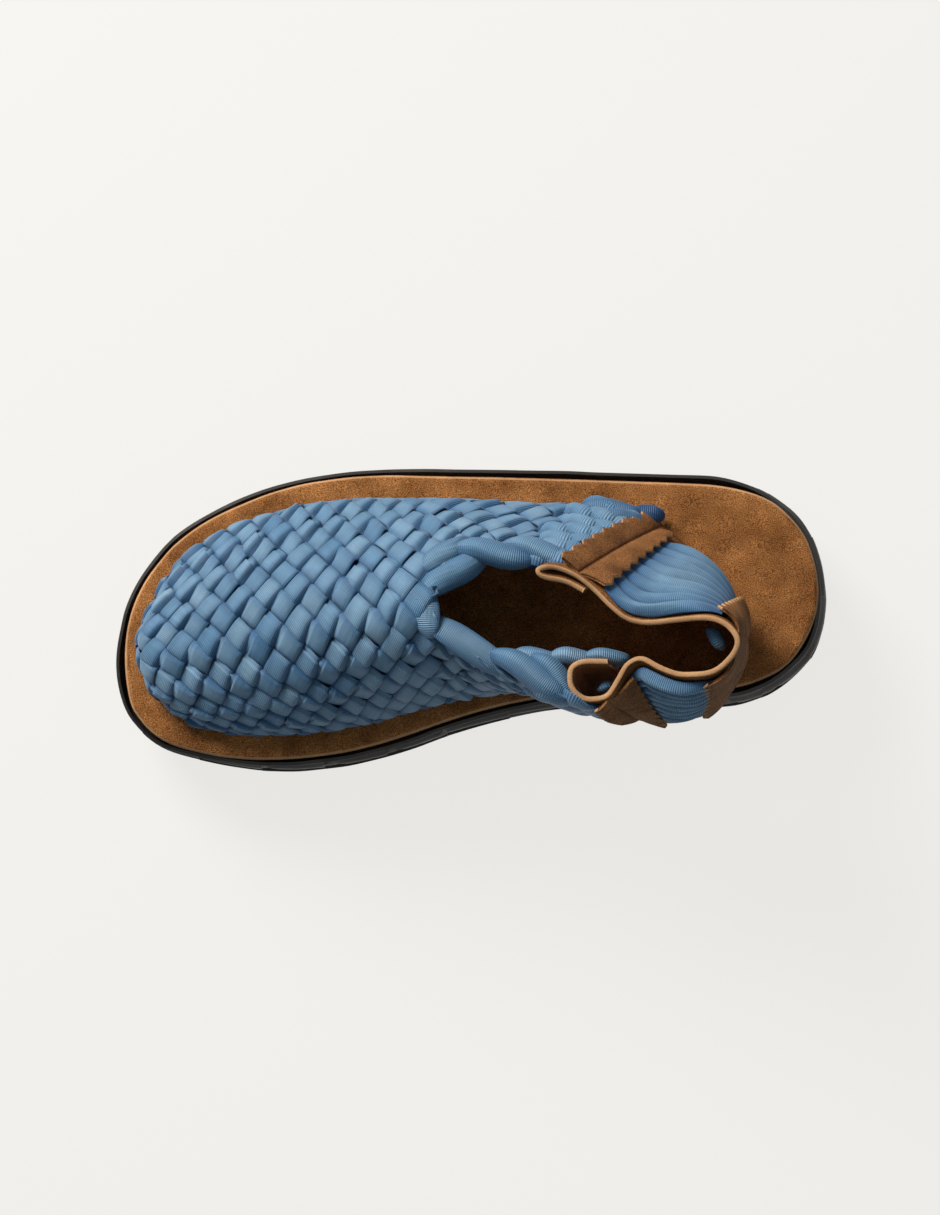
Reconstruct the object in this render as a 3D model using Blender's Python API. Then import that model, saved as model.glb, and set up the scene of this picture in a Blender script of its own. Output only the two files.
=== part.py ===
"""A woven huarache sandal for the right foot.

A moulded black sole on a lugged rubber tread carries a suede footbed. The upper is one
wall of woven strips, open underneath and at the throat, and its two quarters run back to
a suede heel sling. Each end of the sling is folded round into a tunnel, and eight pleated
strips a side run from the tunnel to the heel over the outside of the suede.

The toe points to -X, the outer side of the foot is +Y, the shoe stands on z = 0 and the
origin is under the middle of its box. All lengths are metres.
"""

import bpy
import bmesh
import numpy as np

NAME = "huarache_sandal"

# Overall sizes
SHOE_LENGTH = 0.285
SOLE_WIDTH = 0.1168
HEEL_HEIGHT = 0.045          # footbed top above the ground at the heel
UPPER_HEIGHT = 0.0495        # throat above the footbed
SLING_HEIGHT = 0.0715        # heel peak above the footbed

# Walls and clearances
GAP = 0.0003                 # between two pieces that touch
UPPER_WALL = 0.0018
WEAVE_RELIEF = 0.0015        # how far a strip stands out where it passes over
SUEDE = 0.0020
STRIP_THICKNESS = 0.0016
PLEAT_RELIEF = 0.0016
FOOTBED_THICKNESS = 0.0065

# Tread
LUG_DEPTH = 0.0040
TREAD_PLATE = 0.0030
TREAD_INSET = 0.0020         # plate edge in from the widest line of the sole
LUG_INSET = 0.0042           # top of the lugs
LUG_FOOT_INSET = 0.0056      # foot of the lugs, which taper
GROOVE = 0.0050
GROOVE_PITCH = 0.0150
GROOVE_ZIGZAG = 0.0060
ARCH_GROOVE = 0.0090
ARCH_PITCH = 0.0200
HEEL_PITCH = 0.0145
HEEL_RAKE = 0.0120
LUG_LAND = 0.0030            # least rubber between two kinds of groove
SIDE_GROOVE = 0.0040         # the short grooves beside the window
WINDOW_DIAMETER = 0.0360
WINDOW_BAR = 0.0050
WINDOW_DEPTH = 0.0030
WINDOW_AT = 0.800            # share of the length
TOOTH = 0.0040               # height of the saw teeth along the side
TOOTH_STEP = 0.0010          # how far they stand out
TOOTH_STATIONS = 3           # outline points to one tooth

# Weave, counted in cells of the upper's grid
CELLS_ACROSS = 9
CELLS_VAMP = 11
CELLS_QUARTER = 5
THROAT_CELLS = (4, 5)        # grid columns between which the throat opens
CELL_DIVISIONS = 4
PLEATS = 8
BRIDGE_OUTER = 0.0052        # how far the pleats bridge the hollow of the sling's wall
BRIDGE_INNER = 0.0020

OUTLINE_STATIONS = 49
MEDIAL = 1                   # column of a table that holds the inner edge
LATERAL = 2

# Widest line of the sole: share of the length, inner edge, outer edge (shares of the width)
SOLE = (
    (0.000, -0.108, -0.108), (0.010, -0.249, 0.033), (0.020, -0.292, 0.107),
    (0.040, -0.350, 0.193), (0.060, -0.385, 0.253), (0.100, -0.425, 0.343),
    (0.150, -0.463, 0.406), (0.200, -0.489, 0.451), (0.250, -0.500, 0.480),
    (0.300, -0.498, 0.495), (0.350, -0.484, 0.500), (0.400, -0.461, 0.495),
    (0.450, -0.429, 0.484), (0.500, -0.404, 0.468), (0.550, -0.386, 0.453),
    (0.600, -0.375, 0.438), (0.650, -0.371, 0.424), (0.700, -0.379, 0.407),
    (0.750, -0.398, 0.393), (0.800, -0.417, 0.381), (0.850, -0.419, 0.369),
    (0.900, -0.397, 0.337), (0.925, -0.370, 0.308), (0.950, -0.329, 0.262),
    (0.970, -0.283, 0.213), (0.985, -0.222, 0.151), (1.000, -0.038, -0.038),
)

# Edge of the footbed, in the same shares of the sole
FOOTBED = (
    (0.016, -0.117, -0.117), (0.020, -0.222, -0.006), (0.030, -0.272, 0.082),
    (0.040, -0.307, 0.135), (0.060, -0.351, 0.208), (0.075, -0.372, 0.248),
    (0.100, -0.396, 0.305), (0.150, -0.431, 0.376), (0.200, -0.449, 0.420),
    (0.250, -0.455, 0.452), (0.300, -0.451, 0.469), (0.350, -0.436, 0.473),
    (0.400, -0.411, 0.467), (0.450, -0.381, 0.452), (0.500, -0.356, 0.436),
    (0.550, -0.339, 0.421), (0.600, -0.331, 0.405), (0.650, -0.330, 0.389),
    (0.700, -0.339, 0.373), (0.750, -0.352, 0.357), (0.800, -0.362, 0.341),
    (0.850, -0.359, 0.322), (0.900, -0.331, 0.284), (0.925, -0.298, 0.250),
    (0.950, -0.232, 0.188), (0.968, -0.155, 0.112), (0.978, -0.035, -0.035),
)

# Heights along the sole: share of the length, lug feet and footbed top (shares of the heel
# height), footbed thickness (share of its named thickness)
HEIGHTS = (
    (0.000, 0.120, 0.700, 0.85), (0.040, 0.080, 0.712, 0.85), (0.090, 0.030, 0.730, 0.88),
    (0.150, 0.000, 0.755, 0.92), (0.240, 0.000, 0.795, 1.00), (0.330, 0.000, 0.822, 1.00),
    (0.430, 0.000, 0.868, 0.85), (0.470, 0.060, 0.895, 0.72), (0.530, 0.170, 0.935, 0.56),
    (0.590, 0.180, 0.965, 0.47), (0.640, 0.080, 0.985, 0.47), (0.670, 0.000, 0.993, 0.50),
    (0.740, 0.000, 1.000, 0.60), (0.800, 0.000, 1.000, 0.70), (0.930, 0.000, 1.000, 0.77),
    (0.960, 0.004, 1.000, 0.77), (1.000, 0.030, 1.000, 0.77),
)

# Side of the moulded sole: share of its height, inset from the widest line
SOLE_SIDE = ((0.00, 0.0032), (0.06, 0.0016), (0.52, 0.0000), (0.70, 0.0016),
             (0.88, 0.0014), (0.93, 0.0006), (1.00, 0.0012))
TEETH_AT = 0.22              # share of the height where the saw teeth sit

# How far the top of the sole leans in: share of the length, inner side, outer side
LEAN = ((0.00, 0.0000, 0.0000), (0.10, 0.0010, 0.0000), (0.30, 0.0024, 0.0000),
        (0.70, 0.0024, 0.0000), (0.85, 0.0032, 0.0010), (0.94, 0.0045, 0.0034),
        (1.00, 0.0048, 0.0048))

# Where the upper meets the footbed, in shares of the sole
UPPER_BASE = (
    (0.043, -0.052, -0.052), (0.050, -0.125, 0.020), (0.060, -0.184, 0.070),
    (0.075, -0.237, 0.127), (0.100, -0.287, 0.210), (0.125, -0.314, 0.258),
    (0.150, -0.335, 0.293), (0.200, -0.359, 0.348), (0.250, -0.366, 0.373),
    (0.300, -0.365, 0.389), (0.350, -0.349, 0.390), (0.400, -0.330, 0.380),
    (0.450, -0.308, 0.366), (0.500, -0.290, 0.348), (0.550, -0.280, 0.330),
    (0.600, -0.281, 0.313), (0.650, -0.292, 0.299), (0.700, -0.305, 0.283),
    (0.740, -0.312, 0.256), (0.780, -0.320, 0.230),
)
TOE_CORNER = 0.120           # share of the length where the vamp's front side ends
THROAT = 0.456               # share of the length at the front edge of the throat

# Crown of the vamp: share of the length, height (share of the upper's), ridge (share of the
# way from the inner to the outer edge), fullness at the sides, fullness at the top
CROWN = (
    (0.043, 0.00, 0.50, 2.3, 1.9), (0.050, 0.21, 0.50, 2.3, 1.9), (0.064, 0.30, 0.50, 2.3, 1.8),
    (0.085, 0.37, 0.50, 2.2, 1.7), (0.116, 0.43, 0.49, 2.1, 1.6), (0.180, 0.54, 0.47, 2.0, 1.5),
    (0.247, 0.64, 0.45, 2.0, 1.4), (0.312, 0.74, 0.44, 1.9, 1.3), (0.378, 0.87, 0.43, 1.8, 1.2),
    (0.430, 0.98, 0.43, 1.7, 1.1), (0.500, 1.00, 0.43, 1.7, 1.1),
)

# Collar of each quarter: share of the quarter's run, then how far the collar has moved from
# the throat corner: back (share of the length), across (share of the width), up (share of
# the upper's height)
COLLAR_INNER = ((0.0, 0.000, 0.000, 0.00), (0.4, 0.052, -0.110, -0.04),
                (0.7, 0.100, -0.165, -0.11), (1.0, 0.146, -0.190, -0.04))
COLLAR_OUTER = ((0.0, 0.000, 0.000, 0.00), (0.35, 0.045, 0.040, -0.06),
                (0.7, 0.088, 0.036, -0.09), (1.0, 0.122, 0.010, -0.02))

# Suede sling, from its inner tunnel round the heel to its outer tunnel. Top edge: share of
# the length, share of the width, share of the sling's height. Bottom edge: share of the
# length, share of the width, height above the footbed in shares of the sling's height.
# Last, how far the wall bows out between them (share of the width).
SLING = (
    (0.668, -0.243, 0.710, 0.716, -0.325, 0.080, 0.000),
    (0.634, -0.238, 0.713, 0.683, -0.321, 0.085, 0.000),
    (0.618, -0.259, 0.713, 0.668, -0.336, 0.095, 0.004),
    (0.617, -0.308, 0.713, 0.668, -0.372, 0.100, 0.008),
    (0.635, -0.358, 0.713, 0.690, -0.405, 0.095, 0.010),
    (0.660, -0.353, 0.716, 0.717, -0.430, 0.085, 0.012),
    (0.678, -0.305, 0.734, 0.740, -0.442, 0.080, 0.014),
    (0.691, -0.256, 0.755, 0.757, -0.448, 0.078, 0.016),
    (0.709, -0.244, 0.776, 0.775, -0.447, 0.076, 0.018),
    (0.732, -0.279, 0.811, 0.797, -0.437, 0.070, 0.020),
    (0.760, -0.312, 0.860, 0.820, -0.408, 0.050, 0.022),
    (0.791, -0.310, 0.916, 0.840, -0.365, 0.025, 0.020),
    (0.816, -0.279, 0.965, 0.857, -0.312, 0.005, 0.016),
    (0.829, -0.223, 1.000, 0.867, -0.231, 0.000, 0.014),
    (0.822, -0.173, 0.972, 0.869, -0.150, 0.000, 0.014),
    (0.796, -0.140, 0.916, 0.858, -0.073, 0.000, 0.014),
    (0.763, -0.134, 0.853, 0.840, -0.009, 0.000, 0.014),
    (0.732, -0.140, 0.801, 0.824, 0.043, 0.000, 0.014),
    (0.702, -0.122, 0.758, 0.811, 0.084, 0.000, 0.016),
    (0.678, -0.072, 0.727, 0.800, 0.120, 0.000, 0.018),
    (0.660, -0.010, 0.709, 0.788, 0.156, 0.000, 0.018),
    (0.635, 0.043, 0.694, 0.772, 0.197, 0.000, 0.016),
    (0.605, 0.077, 0.674, 0.755, 0.228, 0.000, 0.012),
    (0.590, 0.065, 0.657, 0.744, 0.223, 0.000, 0.008),
    (0.596, 0.044, 0.657, 0.747, 0.205, 0.000, 0.006),
    (0.623, 0.027, 0.668, 0.762, 0.181, 0.000, 0.010),
    (0.646, -0.015, 0.688, 0.776, 0.147, 0.000, 0.014),
)
SLING_STATIONS = 53
SLING_ROWS = 5

# Pleated strips at the tunnel end and at the heel end: row of the sling's table at their
# bottom and at their top, and the shares of the wall's height there
PLEATS_INNER = ((7.0, 7.0, 0.08, 0.88), (10.9, 12.3, 0.20, 0.86))
PLEATS_OUTER = ((19.8, 19.5, 0.20, 0.92), (15.0, 14.8, 0.22, 0.88))
PLEAT_STATIONS = 8


def smooth(keys, values, at):
    """Monotone cubic curve through the points (keys, values), read at `at`."""
    keys = np.asarray(keys, float)
    values = np.asarray(values, float)
    step = np.diff(keys)
    slope = np.diff(values) / step
    product = slope[:-1] * slope[1:]
    total = slope[:-1] + slope[1:]
    tangent = np.concatenate([slope[:1], np.zeros(len(keys) - 2), slope[-1:]])
    turning = product <= 0
    tangent[1:-1] = np.where(turning, 0.0, 2 * product / np.where(turning, 1.0, total))
    i = np.clip(np.searchsorted(keys, at, side="right") - 1, 0, len(step) - 1)
    t = (at - keys[i]) / step[i]
    return (values[i] * (1 + 2 * t) * (1 - t) ** 2 + step[i] * tangent[i] * t * (1 - t) ** 2
            + values[i + 1] * t * t * (3 - 2 * t) + step[i] * tangent[i + 1] * t * t * (t - 1))


def read(table, share, column, ends="none"):
    """A column of a table at shares of the length. Round ends are read against the angle
    round the end (both ends round) or the root of the distance from it (front round)."""
    rows = np.array(table)
    span = rows[-1, 0] - rows[0, 0]
    keys = np.clip((rows[:, 0] - rows[0, 0]) / span, 0, 1)
    at = np.clip((np.asarray(share, float) - rows[0, 0]) / span, 0, 1)
    if ends == "both":
        keys, at = np.arccos(1 - 2 * keys), np.arccos(1 - 2 * at)
    if ends == "front":
        keys, at = np.sqrt(keys), np.sqrt(at)
    return smooth(keys, rows[:, column], at)


def share_of(x):
    """Share of the shoe's length at a position along X."""
    return np.asarray(x) / SHOE_LENGTH + 0.5


def along(share):
    """Position along X at a share of the shoe's length."""
    return (np.asarray(share) - 0.5) * SHOE_LENGTH


def lug_foot(share):
    return HEEL_HEIGHT * read(HEIGHTS, share, 1)


def sole_bottom(share):
    return lug_foot(share) + LUG_DEPTH + TREAD_PLATE + GAP


def footbed_top(share):
    return HEEL_HEIGHT * read(HEIGHTS, share, 2)


def sole_top(share):
    return footbed_top(share) - FOOTBED_THICKNESS * read(HEIGHTS, share, 3) - GAP


def outline(table):
    """Closed outline: toe tip, outer side, heel tip, inner side. Returns the shares, the
    points in plan, the normals that point inward, and 1 on the inner side."""
    turn = np.linspace(0, np.pi, OUTLINE_STATIONS)
    first, last = table[0][0], table[-1][0]
    shares = first + (last - first) * (1 - np.cos(turn)) / 2
    outer = np.stack([along(shares), SOLE_WIDTH * read(table, shares, LATERAL, "both")], 1)
    inner = np.stack([along(shares), SOLE_WIDTH * read(table, shares, MEDIAL, "both")], 1)
    points = np.concatenate([outer, inner[-2:0:-1]])
    both = np.concatenate([shares, shares[-2:0:-1]])
    side = np.concatenate([np.zeros(OUTLINE_STATIONS), np.ones(OUTLINE_STATIONS - 2)])
    run = np.roll(points, -1, 0) - np.roll(points, 1, 0)
    run /= np.linalg.norm(run, axis=1, keepdims=True)
    normals = np.stack([run[:, 1], -run[:, 0]], 1)
    return both, points, normals, side


def ring(shape, inset, height):
    """One closed ring of an outline moved in by `inset`, at the height of each share."""
    shares, points, normals, _ = shape
    moved = points + normals * np.reshape(inset, (-1, 1))
    level = height(share_of(moved[:, 0])) if callable(height) else height
    return np.column_stack([moved, np.broadcast_to(level, len(moved))])


def finish(name, points, faces, colour, roughness, smooth_sides=True):
    """Make an object from points and faces, with its own plain material."""
    mesh = bpy.data.meshes.new(name)
    mesh.from_pydata([tuple(p) for p in points], [], [tuple(map(int, f)) for f in faces])
    tidy = bmesh.new()
    tidy.from_mesh(mesh)
    bmesh.ops.triangulate(tidy, faces=[f for f in tidy.faces if len(f.verts) > 4])
    bmesh.ops.recalc_face_normals(tidy, faces=tidy.faces)
    tidy.to_mesh(mesh)
    tidy.free()
    material = bpy.data.materials.new(name)
    material.use_nodes = True
    shader = material.node_tree.nodes["Principled BSDF"]
    shader.inputs["Base Color"].default_value = (*colour, 1)
    shader.inputs["Roughness"].default_value = roughness
    shader.inputs["Metallic"].default_value = 0.0
    mesh.materials.append(material)
    if smooth_sides:
        mesh.shade_smooth()
        mesh.set_sharp_from_angle(angle=np.radians(35))
    made = bpy.data.objects.new(name, mesh)
    return made


def stacked(name, rings, colour, roughness):
    """Closed solid through a stack of rings, capped straight across from side to side."""
    count = len(rings[0])
    half = OUTLINE_STATIONS
    faces = []
    for level in range(len(rings) - 1):
        low, high = level * count, (level + 1) * count
        faces += [(low + i, low + (i + 1) % count, high + (i + 1) % count, high + i)
                  for i in range(count)]
    for base, turned in ((0, False), ((len(rings) - 1) * count, True)):
        cap = [(0, count - 1, 1)]
        cap += [(i, count - i, count - i - 1, i + 1) for i in range(1, half - 2)]
        cap.append((half - 2, half, half - 1))
        faces += [tuple(base + i for i in (f[::-1] if turned else f)) for f in cap]
    return finish(name, np.concatenate(rings), faces, colour, roughness)


def bar(points, width, low, high):
    """Vertical prism along a polyline in plan: its vertices and faces."""
    points = np.asarray(points, float)
    shift = np.array([width / 2, 0.0])
    edge = np.concatenate([points - shift, (points + shift)[::-1]])
    count = len(edge)
    levels = [np.column_stack([edge, np.full(count, z)]) for z in (low, high)]
    faces = [(i, (i + 1) % count, count + (i + 1) % count, count + i) for i in range(count)]
    last = len(points) - 1
    for k in range(last):
        faces.append((k, k + 1, count - 2 - k, count - 1 - k))
        faces.append((count + k, 2 * count - 1 - k, 2 * count - 2 - k, count + k + 1))
    return np.concatenate(levels), faces


def groove_bars():
    """The tread's grooves: zigzag under the forefoot, wide and straight under the arch,
    raked across the heel."""
    reach = SOLE_WIDTH * 0.6
    bars = []

    def add(x, width, offsets):
        across = np.linspace(-reach, reach, len(offsets))
        top = float(lug_foot(share_of(x))) + LUG_DEPTH
        bars.append(bar(np.column_stack([x + np.array(offsets), across]), width,
                        top - LUG_DEPTH - HEEL_HEIGHT * 0.2, top))

    land = (GROOVE + ARCH_GROOVE) / 2 + LUG_LAND
    clear = WINDOW_DIAMETER / 2 + GROOVE
    behind_window = np.arange(along(WINDOW_AT) + clear, along(0.96), HEEL_PITCH)
    before_window = np.arange(along(WINDOW_AT) - clear, along(0.68), -HEEL_PITCH)
    arch_end = before_window[-1] - HEEL_RAKE - land
    zigzag = [GROOVE_ZIGZAG * (1 if k % 2 else -1) for k in range(7)]
    for x in np.arange(along(0.085), along(0.465) - GROOVE_ZIGZAG - land, GROOVE_PITCH):
        add(x, GROOVE, zigzag)
    for x in np.arange(along(0.465), arch_end, ARCH_PITCH):
        add(x, ARCH_GROOVE, [0.0, 0.0])
    for x in [*behind_window, *before_window]:
        add(x, GROOVE, [-HEEL_RAKE, HEEL_RAKE])
    for step in (-0.5, 0.5):
        for side in (-1, 1):
            x = along(WINDOW_AT) + step * HEEL_PITCH
            ends = np.array([[x, side * clear], [x + side * HEEL_RAKE / 2, side * reach]])
            bars.append(bar(ends[::side], SIDE_GROOVE, -HEEL_HEIGHT * 0.2, LUG_DEPTH))
    return bars


def window_half(turned, shrink, low, high):
    """Half of the round heel window, on one side of the bar that crosses it."""
    radius = WINDOW_DIAMETER / 2 - shrink
    flat = WINDOW_BAR / 2 + shrink
    start = np.arcsin(flat / radius)
    angles = np.linspace(start, np.pi - start, 13)
    edge = np.column_stack([radius * np.cos(angles), radius * np.sin(angles)])
    rake = np.radians(35 + (180 if turned else 0))
    spin = np.array([[np.cos(rake), -np.sin(rake)], [np.sin(rake), np.cos(rake)]])
    centre = np.array([along(WINDOW_AT), 0.0])
    edge = edge @ spin.T + centre
    count = len(edge)
    points = np.concatenate([np.column_stack([edge, np.full(count, z)]) for z in (low, high)])
    faces = [(i, (i + 1) % count, count + (i + 1) % count, count + i) for i in range(count)]
    faces += [tuple(range(count))[::-1], tuple(range(count, 2 * count))]
    return points, faces


def joined(pieces):
    """Several closed pieces that lie apart, as one list of points and faces."""
    points, faces, start = [], [], 0
    for own_points, own_faces in pieces:
        points.append(own_points)
        faces += [tuple(start + i for i in f) for f in own_faces]
        start += len(own_points)
    return np.concatenate(points), faces


def make_outsole(parts, cutters):
    """Rubber tread: a plate with lugs that taper to their feet."""
    shape = outline(SOLE)
    rings = [ring(shape, LUG_FOOT_INSET, lug_foot),
             ring(shape, LUG_INSET, lambda s: lug_foot(s) + LUG_DEPTH),
             ring(shape, TREAD_INSET, lambda s: lug_foot(s) + LUG_DEPTH),
             ring(shape, TREAD_INSET, lambda s: lug_foot(s) + LUG_DEPTH + TREAD_PLATE)]
    tread = stacked("outsole", rings, (0.035, 0.030, 0.027), 0.62)
    parts.objects.link(tread)
    halves = [window_half(turned, 0.0, -HEEL_HEIGHT * 0.1, WINDOW_DEPTH) for turned in (0, 1)]
    cutter = finish("tread_grooves", *joined(groove_bars() + halves), (1, 1, 1), 0.5, False)
    cutters.objects.link(cutter)
    cutter.hide_render = True
    cutter.display_type = "WIRE"
    cut = tread.modifiers.new("grooves", "BOOLEAN")
    cut.operation = "DIFFERENCE"
    cut.solver = "EXACT"
    cut.object = cutter
    for turned, name in ((0, "heel_window_front"), (1, "heel_window_back")):
        pane = finish(name, *window_half(turned, GAP, WINDOW_DEPTH / 3, WINDOW_DEPTH - GAP),
                      (0.62, 0.60, 0.54), 0.4, False)
        parts.objects.link(pane)


def make_midsole(parts):
    """Moulded black sole: a step of saw teeth low on the side, a hollow band and a lip."""
    shape = outline(SOLE)
    shares, _, _, side = shape
    lean = np.where(side > 0, read(LEAN, shares, MEDIAL), read(LEAN, shares, LATERAL))

    def height(part, extra=0.0):
        return lambda s: sole_bottom(s) + part * (sole_top(s) - sole_bottom(s)) + extra

    tooth = (np.arange(len(shares)) % TOOTH_STATIONS) / (TOOTH_STATIONS - 1) * TOOTH
    rings = [ring(shape, inset, height(part)) for part, inset in SOLE_SIDE[:2]]
    rings.append(ring(shape, 0.0, height(TEETH_AT, tooth)))
    rings.append(ring(shape, TOOTH_STEP, height(TEETH_AT, tooth + TOOTH_STEP / 2)))
    widest = SOLE_SIDE[2][0]
    rings += [ring(shape, inset + lean * (part - widest) / (1 - widest), height(part))
              for part, inset in SOLE_SIDE[2:]]
    parts.objects.link(stacked("midsole", rings, (0.030, 0.026, 0.024), 0.48))


def make_footbed(parts):
    """Suede-covered board that lies on the sole, with a softened upper edge."""
    shape = outline(FOOTBED)
    soft = FOOTBED_THICKNESS / 6
    rings = [ring(shape, 0.0, lambda s: sole_top(s) + GAP),
             ring(shape, 0.0, lambda s: footbed_top(s) - soft),
             ring(shape, soft, footbed_top)]
    parts.objects.link(stacked("footbed", rings, (0.20, 0.085, 0.030), 0.95))


def sling_wall(row, rise):
    """Middle of the suede: `row` counts down the sling's table, `rise` goes from the bottom
    edge (0) to the top edge (1). Works on whole arrays."""
    rows = np.array(SLING)
    keys = np.arange(len(rows))
    column = [smooth(keys, rows[:, c], row) for c in range(7)]
    seat = footbed_top(np.clip(column[3], 0, 1)) + GAP
    top = np.stack([along(column[0]), SOLE_WIDTH * column[1],
                    HEEL_HEIGHT + SLING_HEIGHT * column[2]], -1)
    low = np.stack([along(column[3]), SOLE_WIDTH * column[4],
                    seat + SLING_HEIGHT * column[5]], -1)
    ahead = [smooth(keys, rows[:, c], row + 0.05) - smooth(keys, rows[:, c], row - 0.05)
             for c in (3, 4)]
    run = np.stack([SHOE_LENGTH * ahead[0], SOLE_WIDTH * ahead[1]], -1)
    run /= np.linalg.norm(run, axis=-1, keepdims=True)
    outward = np.stack([run[..., 1], -run[..., 0], np.zeros_like(run[..., 0])], -1)
    bow = (SOLE_WIDTH * column[6] * 4 * rise * (1 - rise))[..., None]
    rise = np.asarray(rise)[..., None]
    return low * (1 - rise) + top * rise + outward * bow


def sling_normal(row, rise):
    """Outward normal of the sling's wall."""
    small = 0.02
    down = sling_wall(row + small, rise) - sling_wall(row - small, rise)
    up = sling_wall(row, np.clip(rise + small, 0, 1)) - sling_wall(row, np.clip(rise - small, 0, 1))
    normal = np.cross(down, up)
    return normal / np.linalg.norm(normal, axis=-1, keepdims=True)


def closed_sheet(outer, inner):
    """Faces of a closed sheet between two grids of points of the same size."""
    rows, columns = outer.shape[:2]
    index = np.arange(rows * columns).reshape(rows, columns)
    back = index + rows * columns
    faces = []
    for i in range(rows - 1):
        for j in range(columns - 1):
            faces.append((index[i, j], index[i + 1, j], index[i + 1, j + 1], index[i, j + 1]))
            faces.append((back[i, j], back[i, j + 1], back[i + 1, j + 1], back[i + 1, j]))
    for i in range(rows - 1):
        faces.append((index[i, 0], back[i, 0], back[i + 1, 0], index[i + 1, 0]))
        faces.append((index[i, -1], index[i + 1, -1], back[i + 1, -1], back[i, -1]))
    for j in range(columns - 1):
        faces.append((index[0, j], index[0, j + 1], back[0, j + 1], back[0, j]))
        faces.append((index[-1, j], back[-1, j], back[-1, j + 1], index[-1, j + 1]))
    points = np.concatenate([outer.reshape(-1, 3), inner.reshape(-1, 3)])
    return points, faces


def make_sling(parts):
    """One strip of suede round the heel, folded into a tunnel at each end."""
    row, rise = np.meshgrid(np.linspace(0, len(SLING) - 1, SLING_STATIONS),
                            np.linspace(0, 1, SLING_ROWS), indexing="ij")
    middle = sling_wall(row, rise)
    normal = sling_normal(row, rise)
    level = normal * np.array([1, 1, 0])
    level /= np.linalg.norm(level, axis=-1, keepdims=True)
    normal[:, 0] = level[:, 0]
    half = normal * SUEDE / 2
    points, faces = closed_sheet(middle + half, middle - half)
    parts.objects.link(finish("heel_sling", points, faces, (0.19, 0.080, 0.030), 0.95))


def make_pleats(parts, name, table, bridge):
    """Pleated strips on the outside of the sling, from the tunnel to the heel. They leave
    the suede in the middle of their run, where its wall is hollow."""
    tunnel, heel = np.array(table)
    run = np.linspace(0, 1, PLEAT_STATIONS)[:, None]
    up = np.linspace(0, 1, 2 * PLEATS + 1)[None, :]
    row_low, row_high, low, high = (tunnel[:, None, None] + (heel - tunnel)[:, None, None] * run)
    row = row_low + (row_high - row_low) * up
    rise = low + (high - low) * up
    lift = bridge * np.sin(np.pi * run) * (0.4 + 0.6 * up)
    base = sling_wall(row, rise)
    normal = sling_normal(row, rise)
    ridge = PLEAT_RELIEF * (1 - np.cos(2 * np.pi * PLEATS * up)) / 2 + 0 * run
    ridge[:, [0, -1]] = 0
    under = base + normal * (SUEDE / 2 + GAP + lift)[..., None]
    over = under + normal * (STRIP_THICKNESS + ridge)[..., None]
    points, faces = closed_sheet(over, under)
    parts.objects.link(finish(name, points, faces, (0.085, 0.175, 0.270), 0.55))


def dome(share, y):
    """Height of the vamp's middle surface at a share of the length and a place across."""
    inner = SOLE_WIDTH * read(UPPER_BASE, share, MEDIAL, "front")
    outer = SOLE_WIDTH * read(UPPER_BASE, share, LATERAL, "front")
    ridge = inner + (outer - inner) * read(CROWN, share, 2)
    reach = np.where(y > ridge, outer - ridge, ridge - inner)
    out = np.clip(np.abs(y - ridge) / np.maximum(reach, 1e-6), 0, 1)
    crown = UPPER_HEIGHT * read(CROWN, share, 1, "front")
    rise = (1 - out ** read(CROWN, share, 3)) ** (1 / read(CROWN, share, 4))
    return footbed_top(share) + GAP + crown * rise


def even_run(points, count_at):
    """Shares along a path, at equal steps of its length: `count_at` goes from 0 to 1."""
    step = np.linalg.norm(np.diff(points, axis=0), axis=1)
    length = np.concatenate([[0], np.cumsum(step)])
    return np.interp(count_at, length / length[-1], np.linspace(0, 1, len(points)))


def vamp(across, back):
    """Middle surface of the vamp. `across` goes from the inner base (0) to the outer (1),
    `back` from the toe (0) to the throat (1), in plan by blending the four sides."""
    fine = np.linspace(0, 1, 200)
    edge = [SOLE_WIDTH * float(read(UPPER_BASE, THROAT, side, "front")) for side in (1, 2)]
    y = edge[0] + (edge[1] - edge[0]) * fine
    section = np.column_stack([0 * y, y, dome(np.full(200, THROAT), y)])
    t = even_run(section, across)
    start = UPPER_BASE[0][0]
    shares = start + (THROAT - start) * fine
    ridge = np.column_stack([along(shares), UPPER_HEIGHT * read(CROWN, shares, 1, "front")])
    w = even_run(ridge, back)

    def base(share, side):
        return np.stack([along(share), SOLE_WIDTH * np.where(
            side > 0, read(UPPER_BASE, share, LATERAL, "front"),
            read(UPPER_BASE, share, MEDIAL, "front"))], -1)

    side = 2 * t - 1
    front = base(start + (TOE_CORNER - start) * side ** 2, side)
    rear = np.stack([along(np.full_like(t, THROAT)), edge[0] + (edge[1] - edge[0]) * t], -1)
    flank = TOE_CORNER + (THROAT - TOE_CORNER) * w
    inner, outer = base(flank, -np.ones_like(w)), base(flank, np.ones_like(w))
    corner = [base(np.full_like(t, TOE_CORNER), k * np.ones_like(t)) for k in (-1, 1)]
    rear_corner = [base(np.full_like(t, THROAT), k * np.ones_like(t)) for k in (-1, 1)]
    t, w = t[..., None], w[..., None]
    plan = ((1 - w) * front + w * rear + (1 - t) * inner + t * outer
            - (1 - t) * (1 - w) * corner[0] - t * (1 - w) * corner[1]
            - (1 - t) * w * rear_corner[0] - t * w * rear_corner[1])
    height = dome(share_of(plan[..., 0]), plan[..., 1])
    return np.concatenate([plan, height[..., None]], -1)


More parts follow.
